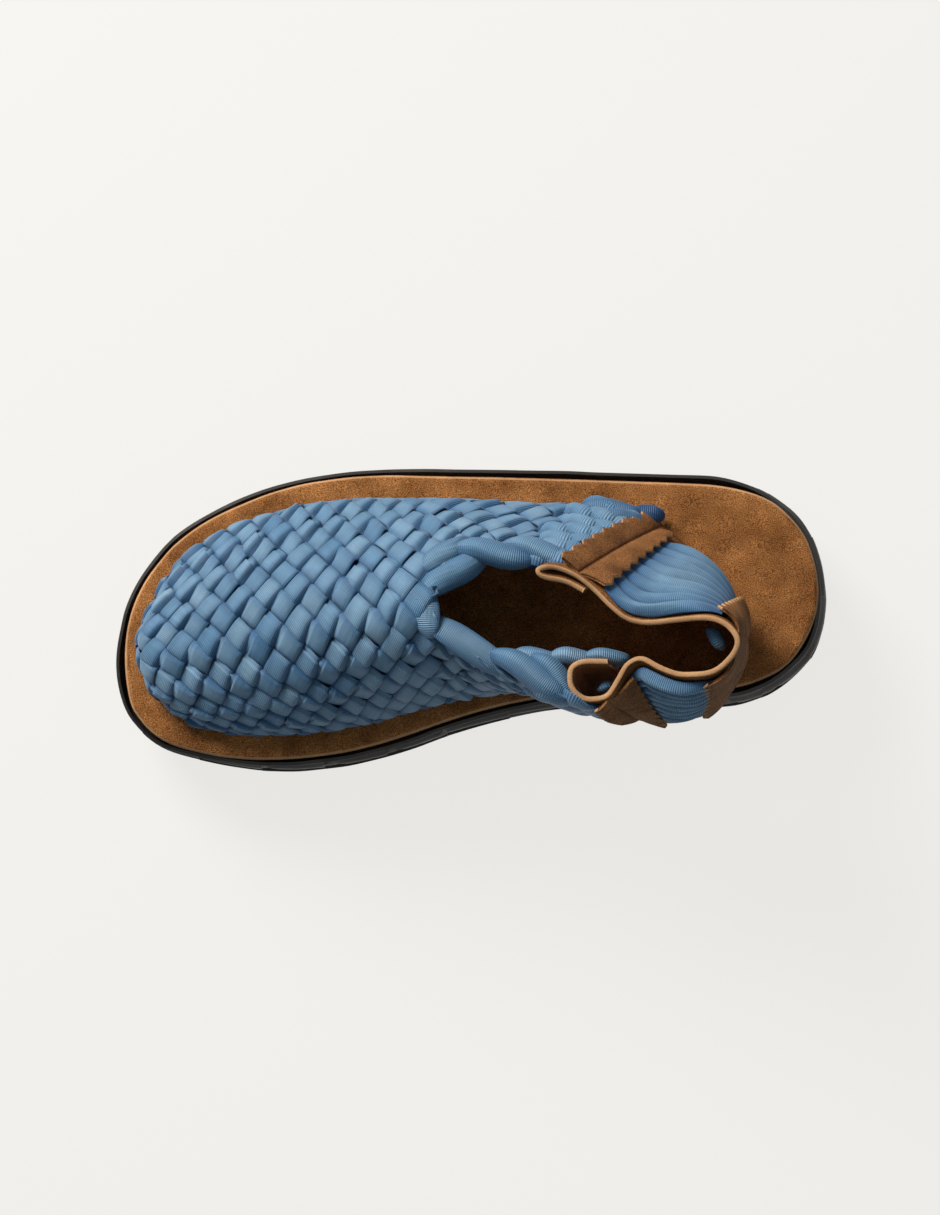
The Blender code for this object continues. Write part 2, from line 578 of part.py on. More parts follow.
def quarter(across, back, outer):
    """Middle surface of one quarter. `across` is the place on the whole section (as in
    vamp), `back` goes from the throat (0) to the tunnel (1)."""
    edge = THROAT_CELLS[1 if outer else 0] / CELLS_ACROSS
    rise = (1 - across) / (1 - edge) if outer else across / edge
    section = vamp(across, np.ones_like(across))
    side, collar = (LATERAL, COLLAR_OUTER) if outer else (MEDIAL, COLLAR_INNER)
    fold_row = 23.1 if outer else 2.9
    clear = SUEDE / 2 + UPPER_WALL / 2 + WEAVE_RELIEF + 2 * GAP
    fold_low = sling_wall(np.array(fold_row), np.array(0.0))
    end = float(share_of(fold_low[0] - clear))
    share = THROAT + (end - THROAT) * back

    def base(at):
        return np.stack([along(at), SOLE_WIDTH * read(UPPER_BASE, at, side, "front"),
                         footbed_top(at) + GAP], -1)

    low = base(share) - base(np.full_like(share, THROAT))
    high = np.stack([SHOE_LENGTH * read(collar, back, 1), SOLE_WIDTH * read(collar, back, 2),
                     UPPER_HEIGHT * read(collar, back, 3)], -1)
    rise = rise[..., None]
    swept = section + (1 - rise) * low + rise * high
    level = rise[..., 0] * 0.93
    fold = sling_wall(np.full_like(level, fold_row), level)
    fold = fold - np.array([clear, 0, 0])
    foot = base(np.full_like(share, end))
    fold_foot = fold_low - np.array([clear, 0, 0])
    fold = fold + (1 - rise) ** 2 * (foot - fold_foot)
    last = section + (1 - rise) * (base(np.full_like(share, end))
                                   - base(np.full_like(share, THROAT)))
    last = last + rise * np.array([SHOE_LENGTH * collar[-1][1], SOLE_WIDTH * collar[-1][2],
                                   UPPER_HEIGHT * collar[-1][3]])
    ease = (back * back * (3 - 2 * back))[..., None]
    return swept + ease * (fold - last)


def weave(across, back):
    """How high the strips stand at a place counted in cells, from 0 to 1. Strips run both
    ways on the diagonal, one cell apart, and pass over and under in turn."""
    first, second = across + back, across - back
    near_first, near_second = np.round(first), np.round(second)
    crown_a = 1.1 * (2 * (second - near_second)) ** 2
    crown_b = 1.1 * (2 * (first - near_first)) ** 2
    over_a = np.cos(np.pi * (first - near_second)) - crown_a
    over_b = -np.cos(np.pi * (second - near_first)) - crown_b
    return np.clip((np.maximum(over_a, over_b) + 1) / 2, 0, 1)


def make_upper(parts):
    """Woven wall: vamp and both quarters on one grid of cells. The outer face carries the
    strips, the inner face is plain and has half as many points each way."""
    div = CELL_DIVISIONS
    wide, vamp_rows = CELLS_ACROSS * div, CELLS_VAMP * div
    rows = vamp_rows + CELLS_QUARTER * div
    u, v = np.meshgrid(np.arange(wide + 1) / div, np.arange(rows + 1) / div, indexing="ij")
    across = u / CELLS_ACROSS
    middle = vamp(across, np.clip(v / CELLS_VAMP, 0, 1))
    back = np.clip((v - CELLS_VAMP) / CELLS_QUARTER, 0, 1)
    left, right = THROAT_CELLS[0] * div, THROAT_CELLS[1] * div
    middle[:left + 1, vamp_rows:] = quarter(across, back, False)[:left + 1, vamp_rows:]
    middle[right:, vamp_rows:] = quarter(across, back, True)[right:, vamp_rows:]

    def used(i, j):
        return j < vamp_rows or i < left or i >= right

    def mesh_faces(step):
        faces = []
        for i in range(0, wide, step):
            for j in range(0, rows, step):
                if used(i, j):
                    a, b = (i, j), (i + step, j)
                    c, d = (i + step, j + step), (i, j + step)
                    if (i // step + j // step) % 2:
                        faces += [(a, b, c), (a, c, d)]
                    else:
                        faces += [(a, b, d), (b, c, d)]
        return faces

    outer_faces = mesh_faces(1)
    normal = np.zeros_like(middle)
    for face in outer_faces:
        p, q, r = (middle[k] for k in face)
        turned = np.cross(q - p, r - p)
        for k in face:
            normal[k] += turned
    length = np.linalg.norm(normal, axis=-1, keepdims=True)
    normal /= np.where(length > 0, length, 1)
    if normal[wide // 2, vamp_rows // 2, 2] < 0:
        normal = -normal
    seat = np.zeros(u.shape, bool)
    seat[0], seat[-1], seat[:, 0] = True, True, True
    flat = normal * np.array([1, 1, 0])
    flat /= np.maximum(np.linalg.norm(flat, axis=-1, keepdims=True), 1e-9)
    normal = np.where(seat[..., None], flat, normal)
    from_edge = np.minimum(np.minimum(u, CELLS_ACROSS - u), v)
    relief = WEAVE_RELIEF * weave(u, v) * np.clip(2 * from_edge, 0, 1)
    outer = middle + normal * (UPPER_WALL / 2 + relief)[..., None]
    inner = middle - normal * (UPPER_WALL / 2)
    number, points = {}, []

    def place(key, face_of):
        if (key, face_of) not in number:
            number[key, face_of] = len(points)
            points.append(outer[key] if face_of == "outer" else inner[key])
        return number[key, face_of]

    faces = [tuple(place(k, "outer") for k in f) for f in outer_faces]
    inner_faces = mesh_faces(2)
    faces += [tuple(place(k, "inner") for k in f[::-1]) for f in inner_faces]
    edges = {}
    for face in inner_faces:
        for k in range(3):
            pair = (face[k], face[(k + 1) % 3])
            edges[frozenset(pair)] = None if frozenset(pair) in edges else pair
    for pair in edges.values():
        if pair:
            start, stop = pair
            mid = ((start[0] + stop[0]) // 2, (start[1] + stop[1]) // 2)
            o0, om, o1 = (place(k, "outer") for k in (start, mid, stop))
            i0, i1 = place(start, "inner"), place(stop, "inner")
            faces += [(o0, om, i0), (om, i1, i0), (om, o1, i1)]
    parts.objects.link(finish("upper", points, faces, (0.075, 0.165, 0.255), 0.6))


def main():
    for thing in list(bpy.data.objects):
        bpy.data.objects.remove(thing, do_unlink=True)
    parts = bpy.data.collections.new(NAME)
    cutters = bpy.data.collections.new(NAME + "_cutters")
    bpy.context.scene.collection.children.link(parts)
    bpy.context.scene.collection.children.link(cutters)
    make_outsole(parts, cutters)
    make_midsole(parts)
    make_footbed(parts)
    make_upper(parts)
    make_sling(parts)
    make_pleats(parts, "heel_strips_inner", PLEATS_INNER, BRIDGE_INNER)
    make_pleats(parts, "heel_strips_outer", PLEATS_OUTER, BRIDGE_OUTER)


main()
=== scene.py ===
"""Looks of the woven huarache sandal, right foot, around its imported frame.

Every new piece is a surface worked out with numpy on the same outlines, heights and wall
shapes as the shoe's solids. The toe points to -X and the outer side of the foot is +Y.
Lengths are metres.
"""

import bpy
import numpy as np
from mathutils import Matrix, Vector


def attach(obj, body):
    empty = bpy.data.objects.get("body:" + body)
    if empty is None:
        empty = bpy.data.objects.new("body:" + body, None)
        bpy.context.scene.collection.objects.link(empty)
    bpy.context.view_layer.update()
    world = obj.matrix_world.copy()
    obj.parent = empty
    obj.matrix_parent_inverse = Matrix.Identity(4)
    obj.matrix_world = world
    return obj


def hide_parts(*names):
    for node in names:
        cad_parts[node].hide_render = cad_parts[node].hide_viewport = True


# Overall sizes, walls and clearances of the shoe's solids
SHOE_LENGTH = 0.285
SOLE_WIDTH = 0.1168
HEEL_HEIGHT = 0.045
UPPER_HEIGHT = 0.0495
SLING_HEIGHT = 0.0715
GAP = 0.0003
UPPER_WALL = 0.0018
WEAVE_RELIEF = 0.0015
SUEDE = 0.0020
FOOTBED_THICKNESS = 0.0065
LUG_DEPTH = 0.0040
TREAD_PLATE = 0.0030
CELLS_ACROSS = 9
CELLS_VAMP = 11
CELLS_QUARTER = 5
THROAT_CELLS = (4, 5)
PLEATS = 8
MEDIAL, LATERAL = 1, 2

SOLE = (
    (0.000, -0.108, -0.108), (0.010, -0.249, 0.033), (0.020, -0.292, 0.107),
    (0.040, -0.350, 0.193), (0.060, -0.385, 0.253), (0.100, -0.425, 0.343),
    (0.150, -0.463, 0.406), (0.200, -0.489, 0.451), (0.250, -0.500, 0.480),
    (0.300, -0.498, 0.495), (0.350, -0.484, 0.500), (0.400, -0.461, 0.495),
    (0.450, -0.429, 0.484), (0.500, -0.404, 0.468), (0.550, -0.386, 0.453),
    (0.600, -0.375, 0.438), (0.650, -0.371, 0.424), (0.700, -0.379, 0.407),
    (0.750, -0.398, 0.393), (0.800, -0.417, 0.381), (0.850, -0.419, 0.369),
    (0.900, -0.397, 0.337), (0.925, -0.370, 0.308), (0.950, -0.329, 0.262),
    (0.970, -0.283, 0.213), (0.985, -0.222, 0.151), (1.000, -0.038, -0.038),
)
FOOTBED = (
    (0.016, -0.117, -0.117), (0.020, -0.222, -0.006), (0.030, -0.272, 0.082),
    (0.040, -0.307, 0.135), (0.060, -0.351, 0.208), (0.075, -0.372, 0.248),
    (0.100, -0.396, 0.305), (0.150, -0.431, 0.376), (0.200, -0.449, 0.420),
    (0.250, -0.455, 0.452), (0.300, -0.451, 0.469), (0.350, -0.436, 0.473),
    (0.400, -0.411, 0.467), (0.450, -0.381, 0.452), (0.500, -0.356, 0.436),
    (0.550, -0.339, 0.421), (0.600, -0.331, 0.405), (0.650, -0.330, 0.389),
    (0.700, -0.339, 0.373), (0.750, -0.352, 0.357), (0.800, -0.362, 0.341),
    (0.850, -0.359, 0.322), (0.900, -0.331, 0.284), (0.925, -0.298, 0.250),
    (0.950, -0.232, 0.188), (0.968, -0.155, 0.112), (0.978, -0.035, -0.035),
)
HEIGHTS = (
    (0.000, 0.120, 0.700, 0.85), (0.040, 0.080, 0.712, 0.85), (0.090, 0.030, 0.730, 0.88),
    (0.150, 0.000, 0.755, 0.92), (0.240, 0.000, 0.795, 1.00), (0.330, 0.000, 0.822, 1.00),
    (0.430, 0.000, 0.868, 0.85), (0.470, 0.060, 0.895, 0.72), (0.530, 0.170, 0.935, 0.56),
    (0.590, 0.180, 0.965, 0.47), (0.640, 0.080, 0.985, 0.47), (0.670, 0.000, 0.993, 0.50),
    (0.740, 0.000, 1.000, 0.60), (0.800, 0.000, 1.000, 0.70), (0.930, 0.000, 1.000, 0.77),
    (0.960, 0.004, 1.000, 0.77), (1.000, 0.030, 1.000, 0.77),
)
LEAN = ((0.00, 0.0000, 0.0000), (0.10, 0.0010, 0.0000), (0.30, 0.0024, 0.0000),
        (0.70, 0.0024, 0.0000), (0.85, 0.0032, 0.0010), (0.94, 0.0045, 0.0034),
        (1.00, 0.0048, 0.0048))
UPPER_BASE = (
    (0.043, -0.052, -0.052), (0.050, -0.125, 0.020), (0.060, -0.184, 0.070),
    (0.075, -0.237, 0.127), (0.100, -0.287, 0.210), (0.125, -0.314, 0.258),
    (0.150, -0.335, 0.293), (0.200, -0.359, 0.348), (0.250, -0.366, 0.373),
    (0.300, -0.365, 0.389), (0.350, -0.349, 0.390), (0.400, -0.330, 0.380),
    (0.450, -0.308, 0.366), (0.500, -0.290, 0.348), (0.550, -0.280, 0.330),
    (0.600, -0.281, 0.313), (0.650, -0.292, 0.299), (0.700, -0.305, 0.283),
    (0.740, -0.312, 0.256), (0.780, -0.320, 0.230),
)
TOE_CORNER = 0.120
THROAT = 0.456
CROWN = (
    (0.043, 0.00, 0.50, 2.3, 1.9), (0.050, 0.21, 0.50, 2.3, 1.9), (0.064, 0.30, 0.50, 2.3, 1.8),
    (0.085, 0.37, 0.50, 2.2, 1.7), (0.116, 0.43, 0.49, 2.1, 1.6), (0.180, 0.54, 0.47, 2.0, 1.5),
    (0.247, 0.64, 0.45, 2.0, 1.4), (0.312, 0.74, 0.44, 1.9, 1.3), (0.378, 0.87, 0.43, 1.8, 1.2),
    (0.430, 0.98, 0.43, 1.7, 1.1), (0.500, 1.00, 0.43, 1.7, 1.1),
)
COLLAR_INNER = ((0.0, 0.000, 0.000, 0.00), (0.4, 0.052, -0.110, -0.04),
                (0.7, 0.100, -0.165, -0.11), (1.0, 0.146, -0.190, -0.04))
COLLAR_OUTER = ((0.0, 0.000, 0.000, 0.00), (0.35, 0.045, 0.040, -0.06),
                (0.7, 0.088, 0.036, -0.09), (1.0, 0.122, 0.010, -0.02))
SLING = (
    (0.668, -0.243, 0.710, 0.716, -0.325, 0.080, 0.000),
    (0.634, -0.238, 0.713, 0.683, -0.321, 0.085, 0.000),
    (0.618, -0.259, 0.713, 0.668, -0.336, 0.095, 0.004),
    (0.617, -0.308, 0.713, 0.668, -0.372, 0.100, 0.008),
    (0.635, -0.358, 0.713, 0.690, -0.405, 0.095, 0.010),
    (0.660, -0.353, 0.716, 0.717, -0.430, 0.085, 0.012),
    (0.678, -0.305, 0.734, 0.740, -0.442, 0.080, 0.014),
    (0.691, -0.256, 0.755, 0.757, -0.448, 0.078, 0.016),
    (0.709, -0.244, 0.776, 0.775, -0.447, 0.076, 0.018),
    (0.732, -0.279, 0.811, 0.797, -0.437, 0.070, 0.020),
    (0.760, -0.312, 0.860, 0.820, -0.408, 0.050, 0.022),
    (0.791, -0.310, 0.916, 0.840, -0.365, 0.025, 0.020),
    (0.816, -0.279, 0.965, 0.857, -0.312, 0.005, 0.016),
    (0.829, -0.223, 1.000, 0.867, -0.231, 0.000, 0.014),
    (0.822, -0.173, 0.972, 0.869, -0.150, 0.000, 0.014),
    (0.796, -0.140, 0.916, 0.858, -0.073, 0.000, 0.014),
    (0.763, -0.134, 0.853, 0.840, -0.009, 0.000, 0.014),
    (0.732, -0.140, 0.801, 0.824, 0.043, 0.000, 0.014),
    (0.702, -0.122, 0.758, 0.811, 0.084, 0.000, 0.016),
    (0.678, -0.072, 0.727, 0.800, 0.120, 0.000, 0.018),
    (0.660, -0.010, 0.709, 0.788, 0.156, 0.000, 0.018),
    (0.635, 0.043, 0.694, 0.772, 0.197, 0.000, 0.016),
    (0.605, 0.077, 0.674, 0.755, 0.228, 0.000, 0.012),
    (0.590, 0.065, 0.657, 0.744, 0.223, 0.000, 0.008),
    (0.596, 0.044, 0.657, 0.747, 0.205, 0.000, 0.006),
    (0.623, 0.027, 0.668, 0.762, 0.181, 0.000, 0.010),
    (0.646, -0.015, 0.688, 0.776, 0.147, 0.000, 0.014),
)
FOLD_ROWS = (2.9, 23.1)      # rows of the sling's two folds, inner side first
FOLD_TOP = 0.93              # share of the sling's height that the quarters' ends reach
# Pleated strips at the tunnel and at the heel: row of the sling's table at the bottom and at
# the top, and shares of the wall's height there. Then how far they bridge the hollow wall.
PLEATS_INNER = ((7.0, 7.0, 0.24, 0.92), (9.7, 11.2, 0.33, 0.90))
PLEATS_OUTER = ((19.8, 19.5, 0.18, 0.975), (15.0, 14.8, 0.20, 0.95))
BRIDGE_OUTER = 0.0036
BRIDGE_INNER = 0.0010

# Finer sizes of the looks
STRIP_HALF = 0.555           # half a strip's width, in pitches
STRIP_THICK = 0.0014
STRIP_WAVE = 0.00120         # how far a strip rises and dips as it is woven
STRIP_CROWN = 0.00028
STRIP_CELL = 0.0085          # width of a cell at which a strip has its full thickness
TILE = 0.00060               # how far a patch leans lengthwise, as roof tiles do
STEPS_PER_CELL = 12
END_PAD = 0.55               # how far strips run on past the upper's edge, in cells
THROAT_MARGIN = 0.05         # how far strips reach into the throat, in cells
END_SINK = 0.009             # how far a strip goes down for each cell past the edge
TOOTH_LENGTH = 0.0250
TOOTH = 0.0042
TOOTH_STEP = 0.0010
TOOTH_RISE, TOOTH_FALL = 0.97, 0.03     # shares of a tooth's length that rise and fall

# Side of the sole. Places along one tooth, as shares of its length
TOOTH_POINTS = np.array([0, 0.03, 0.1, 0.2, 0.3, 0.4, 0.5, 0.6, 0.7, 0.8, 0.88, 0.94, 0.97, 0.985])
TOOTH_LINE = 0.22            # share of the side's height where the teeth start
# Below the teeth: share of the height up to them, and inset
SIDE_BELOW = ((0.0, 0.0032), (0.25, 0.0016), (0.55, 0.0008), (0.85, 0.0001), (0.97, 0.0),
              (1.0, 0.0003))
# Above them: shares of the height up to the lip, and the insets between which they are read
SIDE_LEVELS = np.array([0.0, 0.03, 0.08, 0.14, 0.2, 0.27, 0.34, 0.41, 0.48, 0.55, 0.60, 0.63,
                        0.67, 0.71, 0.75, 0.79, 0.83, 0.86, 0.88, 0.90, 0.925, 0.95, 0.975, 1.0])
SIDE_INSETS = ((0.0, 0.0012), (0.25, 0.0004), (0.45, 0.0000), (0.56, 0.0002), (0.60, 0.0011),
               (0.72, 0.0019), (0.84, 0.0017), (0.875, 0.0013), (0.89, 0.0016), (0.905, 0.0007),
               (0.95, 0.0005), (0.985, 0.0009), (1.0, 0.0018))
# Slanted slits: place along the shoe, height, and length. Grooves: points along and up
SLITS = ((-0.114, 0.0215, 0.006), (-0.087, 0.0215, 0.0065), (-0.059, 0.022, 0.007),
         (-0.035, 0.023, 0.007), (-0.015, 0.025, 0.007), (0.057, 0.027, 0.007),
         (0.100, 0.026, 0.007), (0.119, 0.025, 0.007))
SLIT_DEPTH, SLIT_WIDTH = 0.0013, 0.0010
GROOVES = (((0.030, 0.033), (0.050, 0.0315), (0.066, 0.025), (0.080, 0.016)),
           ((-0.016, 0.019), (0.010, 0.0245), (0.034, 0.022), (0.052, 0.014)),
           ((0.082, 0.034), (0.105, 0.034), (0.125, 0.033)))
GROOVE_DEPTH, GROOVE_WIDTH = 0.0008, 0.0009
# Rounded edge of the footbed: inset, share of its thickness, and drop
FOOTBED_EDGE = ((0.0, 0.0, 0.0), (0.0, 0.55, 0.0), (0.0003, 1.0, -0.0010), (0.0010, 1.0, -0.0003),
                (0.0020, 1.0, 0.0))
FOOTBED_WAVE = 0.00018       # unevenness of the footbed's face
SLING_WAVE = 0.00035         # unevenness of the sling's faces
SLING_RIM = 0.0004           # how far the cut edge is rounded up

# Turns of the strips along the collar and at the ends of both quarters. Each row: start x, y
# and height, end x, y and height, half width, thickness, sideways bow. Heights count from
# the collar's edge at that place along the shoe. Millimetres.
TURNS_OUTER = (
    (-19.5, 1.0, -1.4, 8, 17.5, -1.0, 5.4, 3.8, 1.8),
    (-5, 19.0, -2.6, 24.5, 12.2, -1.2, 4.9, 5.4, 1.6),
    (14, 18.6, -2.6, 41, 9.8, -1.6, 4.7, 5.4, 1.6),
    (-17, 12.6, -2.2, 2, 22.4, -3.0, 4.6, 2.8, 1.0),
)
TURNS_INNER = (
    (-17.0, 4.5, -0.4, -16.8, -13.0, -0.2, 4.8, 2.2, 0.5),
    (-18.5, -5.5, -0.8, 14, -30.0, -3.0, 5.4, 2.6, 0.6),
    (5, -21.0, -0.2, 33, -40.0, -3.0, 5.0, 4.6, 1.8),
    (20, -23.8, 0.0, 38, -43.0, -7.0, 4.4, 4.6, 2.0),
    (12, -23.5, -4.0, 31, -25.5, -7.0, 3.8, 3.8, 1.2),
    (27, -25.0, -5.0, 44, -26.6, -9.0, 3.6, 3.6, 1.2),
    (40, -26.0, -6.0, 57, -27.8, -10.0, 3.2, 3.4, 1.0),
)
# Free ends: start x, y, z and end x, y, z, half width, thickness, bow, in millimetres, and
# the share of painted light they keep: lower values paint them darker with painted shade
STRIP_ENDS = (
    (46, 32.8, 50.0, 70, 28.4, 50.0, 4.2, 3.6, 1.2, 0.9),
    (52, 28.0, 58.0, 71, 25.0, 52.0, 3.8, 3.8, 0.8, 0.8),
    (65, 29.0, 49.0, 78, 26.4, 48.0, 4.4, 2.6, 0.0, 0.30),
    (85.5, -20.5, 99.0, 90.5, -27.5, 100.0, 2.7, 2.6, 0.6, 1.0),
    (44.5, -38.5, 88.0, 48.5, -36.5, 87.0, 1.8, 2.2, 0.2, 1.0),
)
# Strips that run from each quarter's end under the pinked edge of the sling, from the topmost
# to the lowest: place on the quarter (cells across), then row and share of height on the sling
ENTRIES_OUTER = ((5.25, 21.62, 0.90), (8.75, 21.85, 0.14), 7)
ENTRIES_INNER = ((3.75, 4.42, 0.90), (0.30, 4.42, 0.14), 7)
# Each such strip is drawn as two or three overlapping lengths, in turn: shares of its way
ENTRY_LENGTHS = (((-0.25, 0.60), (0.34, 1.0)), ((-0.45, 0.26), (0.02, 0.76), (0.52, 1.0)))
# Suede that lies over the strips where they pass under it: rows of the sling from its flush
# edge to its pinked edge (at the bottom and at the top), and shares of height
SUEDE_COVERS = (
    (21.00, 20.90, 22.05, 21.75, 0.03, 0.985), (20.92, 20.82, 19.95, 19.62, 0.10, 0.985),
    (5.10, 5.10, 4.15, 4.30, 0.12, 0.985), (5.18, 5.18, 6.95, 6.90, 0.10, 0.95),
    (13.30, 13.40, 14.95, 14.75, 0.10, 0.97), (11.0, 12.3, 9.2, 10.7, 0.15, 0.97),
)
COVER_TEETH = 9
COVER_TOOTH = 0.0016
COVER_THICK = 0.0012
COVER_RISE = 0.0034

# Camera and light
CAMERA_FOOT = (-0.0096, -0.0508)   # the point of the floor straight under the camera
CAMERA_HEIGHT = 1.0
CAMERA_ROLL = np.radians(5.5)
CAMERA_TARGET = (0.0, 0.0, 0.025)
LENS_MM = 72.8
SENSOR_MM = 36
FLOOR_SIZE = 6.0
FLOOR_GLOW = 0.785                 # the floor's own light, which keeps it pale and even
WORLD_COLOUR, WORLD_LIGHT = (0.82, 0.93, 1.0, 1), 0.27
LIGHT_COLOUR = (1.0, 0.965, 0.92)
# Name, place (right, up and off the floor, as the camera sees it), watts, size
LIGHTS = (("key", (-0.95, 1.25, 0.95), 54.0, 0.8), ("fill", (1.2, -0.9, 1.6), 0.5, 1.8))

# Sockets of Blender's Mix node for colours
MIX_FACTOR, MIX_LOW, MIX_HIGH, MIX_COLOUR = 0, 6, 7, 2


# ---- shapes -------------------------------------------------------------------------

def unit(vectors):
    """Vectors divided by their own lengths."""
    return vectors / np.linalg.norm(vectors, axis=-1, keepdims=True)


def length_along(points):
    """Length of a path up to each of its points: the running sum of the steps between them."""
    step = np.linalg.norm(np.diff(points, axis=0), axis=1)
    return np.concatenate([[0], np.cumsum(step)])


def smooth(keys, values, at):
    """Monotone cubic curve through the points (keys, values), read at `at`: Hermite pieces
    whose slope at a point is the harmonic mean of its neighbours', or 0 at a turn."""
    keys = np.asarray(keys, float)
    values = np.asarray(values, float)
    step = np.diff(keys)
    slope = np.diff(values) / step
    product = slope[:-1] * slope[1:]
    total = slope[:-1] + slope[1:]
    turning = product <= 0
    tangent = np.concatenate([slope[:1], np.zeros(len(keys) - 2), slope[-1:]])
    tangent[1:-1] = np.where(turning, 0.0, 2 * product / np.where(turning, 1.0, total))
    i = np.clip(np.searchsorted(keys, at, side="right") - 1, 0, len(step) - 1)
    t = (at - keys[i]) / step[i]
    return (values[i] * (1 + 2 * t) * (1 - t) ** 2 + step[i] * tangent[i] * t * (1 - t) ** 2
            + values[i + 1] * t * t * (3 - 2 * t) + step[i] * tangent[i + 1] * t * t * (t - 1))


def read(table, share, column, ends="none"):
    """A column of a table at shares of the length, read against the angle round both round
    ends, the root of the distance from a round front, or the share itself."""
    rows = np.array(table)
    span = rows[-1, 0] - rows[0, 0]
    keys = np.clip((rows[:, 0] - rows[0, 0]) / span, 0, 1)
    at = np.clip((np.asarray(share, float) - rows[0, 0]) / span, 0, 1)
    if ends == "both":
        keys, at = np.arccos(1 - 2 * keys), np.arccos(1 - 2 * at)
    if ends == "front":
        keys, at = np.sqrt(keys), np.sqrt(at)
    return smooth(keys, rows[:, column], at)


def share_of(x):
    """Share of the shoe's length, 0 at the toe and 1 at the heel, of a place along X."""
    return np.asarray(x) / SHOE_LENGTH + 0.5


def along(share):
    """Place along X of a share of the shoe's length."""
    return (np.asarray(share) - 0.5) * SHOE_LENGTH


def sole_bottom(share):
    """Underside of the moulded side: the ground line plus the lugs and the tread plate."""
    return HEEL_HEIGHT * read(HEIGHTS, share, 1) + LUG_DEPTH + TREAD_PLATE + GAP


def footbed_top(share):
    """Face of the footbed: its height at the heel times the table's share."""
    return HEEL_HEIGHT * read(HEIGHTS, share, 2)


def sole_top(share):
    """Lip of the moulded side: the footbed's face less the board's thickness there."""
    return footbed_top(share) - FOOTBED_THICKNESS * read(HEIGHTS, share, 3) - GAP


def outline(table, stations):
    """Closed outline from the toe tip along the outer side to the heel and back along the
    inner side: shares, points in plan, and 1 on the inner side."""
    turn = np.linspace(0, np.pi, stations)
    first, last = table[0][0], table[-1][0]
    shares = first + (last - first) * (1 - np.cos(turn)) / 2
    outer = np.stack([along(shares), SOLE_WIDTH * read(table, shares, LATERAL, "both")], 1)
    inner = np.stack([along(shares), SOLE_WIDTH * read(table, shares, MEDIAL, "both")], 1)
    points = np.concatenate([outer, inner[-2:0:-1]])
    both = np.concatenate([shares, shares[-2:0:-1]])
    side = np.concatenate([np.zeros(stations), np.ones(stations - 2)])
    return both, points, side


def inward(points):
    """Inward normals in plan of a closed outline."""
    run = unit(np.roll(points, -1, 0) - np.roll(points, 1, 0))
    return np.stack([run[:, 1], -run[:, 0]], 1)


def sling_wall(row, rise):
    """Middle of the suede: the mean of five neighbouring sections, weighted 1, 4, 6, 4, 1,
    which rounds the folds. The five draw together at the sling's two ends."""
    reach = np.clip(np.minimum(row, len(SLING) - 1 - row), 0, 0.45)
    return sum(weight / 16 * sling_section(row + reach * at, rise)
               for weight, at in ((1, -1.0), (4, -0.5), (6, 0.0), (4, 0.5), (1, 1.0)))


def sling_section(row, rise):
    """Straight from the bottom edge (rise 0) to the top edge (rise 1) at a row of the
    sling's table, bowed out by a parabola in between."""
    rows = np.array(SLING)
    keys = np.arange(len(rows))
    column = [smooth(keys, rows[:, c], row) for c in range(7)]
    seat = footbed_top(np.clip(column[3], 0, 1)) + GAP
    top = np.stack([along(column[0]), SOLE_WIDTH * column[1],
                    HEEL_HEIGHT + SLING_HEIGHT * column[2]], -1)
    low = np.stack([along(column[3]), SOLE_WIDTH * column[4],
                    seat + SLING_HEIGHT * column[5]], -1)
    ahead = [smooth(keys, rows[:, c], row + 0.05) - smooth(keys, rows[:, c], row - 0.05)
             for c in (3, 4)]
    run = unit(np.stack([SHOE_LENGTH * ahead[0], SOLE_WIDTH * ahead[1]], -1))
    outward = np.stack([run[..., 1], -run[..., 0], np.zeros_like(run[..., 0])], -1)
    bow = (SOLE_WIDTH * column[6] * 4 * rise * (1 - rise))[..., None]
    rise = np.asarray(rise)[..., None]
    return low * (1 - rise) + top * rise + outward * bow


def sling_normal(row, rise):
    """Outward normal of the suede, from small steps along it and up it."""
    small = 0.02
    onward = sling_wall(row + small, rise) - sling_wall(row - small, rise)
    high, low = np.clip(rise + small, 0, 1), np.clip(rise - small, 0, 1)
    return unit(np.cross(onward, sling_wall(row, high) - sling_wall(row, low)))


def dome(share, y):
    """Height of the vamp: a rounded arch between the two base lines, its peak on the ridge."""
    inner = SOLE_WIDTH * read(UPPER_BASE, share, MEDIAL, "front")
    outer = SOLE_WIDTH * read(UPPER_BASE, share, LATERAL, "front")
    ridge = inner + (outer - inner) * read(CROWN, share, 2)
    reach = np.where(y > ridge, outer - ridge, ridge - inner)
    out = np.clip(np.abs(y - ridge) / np.maximum(reach, 1e-6), 0, 1)
    crown = UPPER_HEIGHT * read(CROWN, share, 1, "front")
    rise = (1 - out ** read(CROWN, share, 3)) ** (1 / read(CROWN, share, 4))
    return footbed_top(share) + GAP + crown * rise


def even_run(points, count_at):
    """Shares along a path at equal steps of its length."""
    length = length_along(points)
    return np.interp(count_at, length / length[-1], np.linspace(0, 1, len(points)))


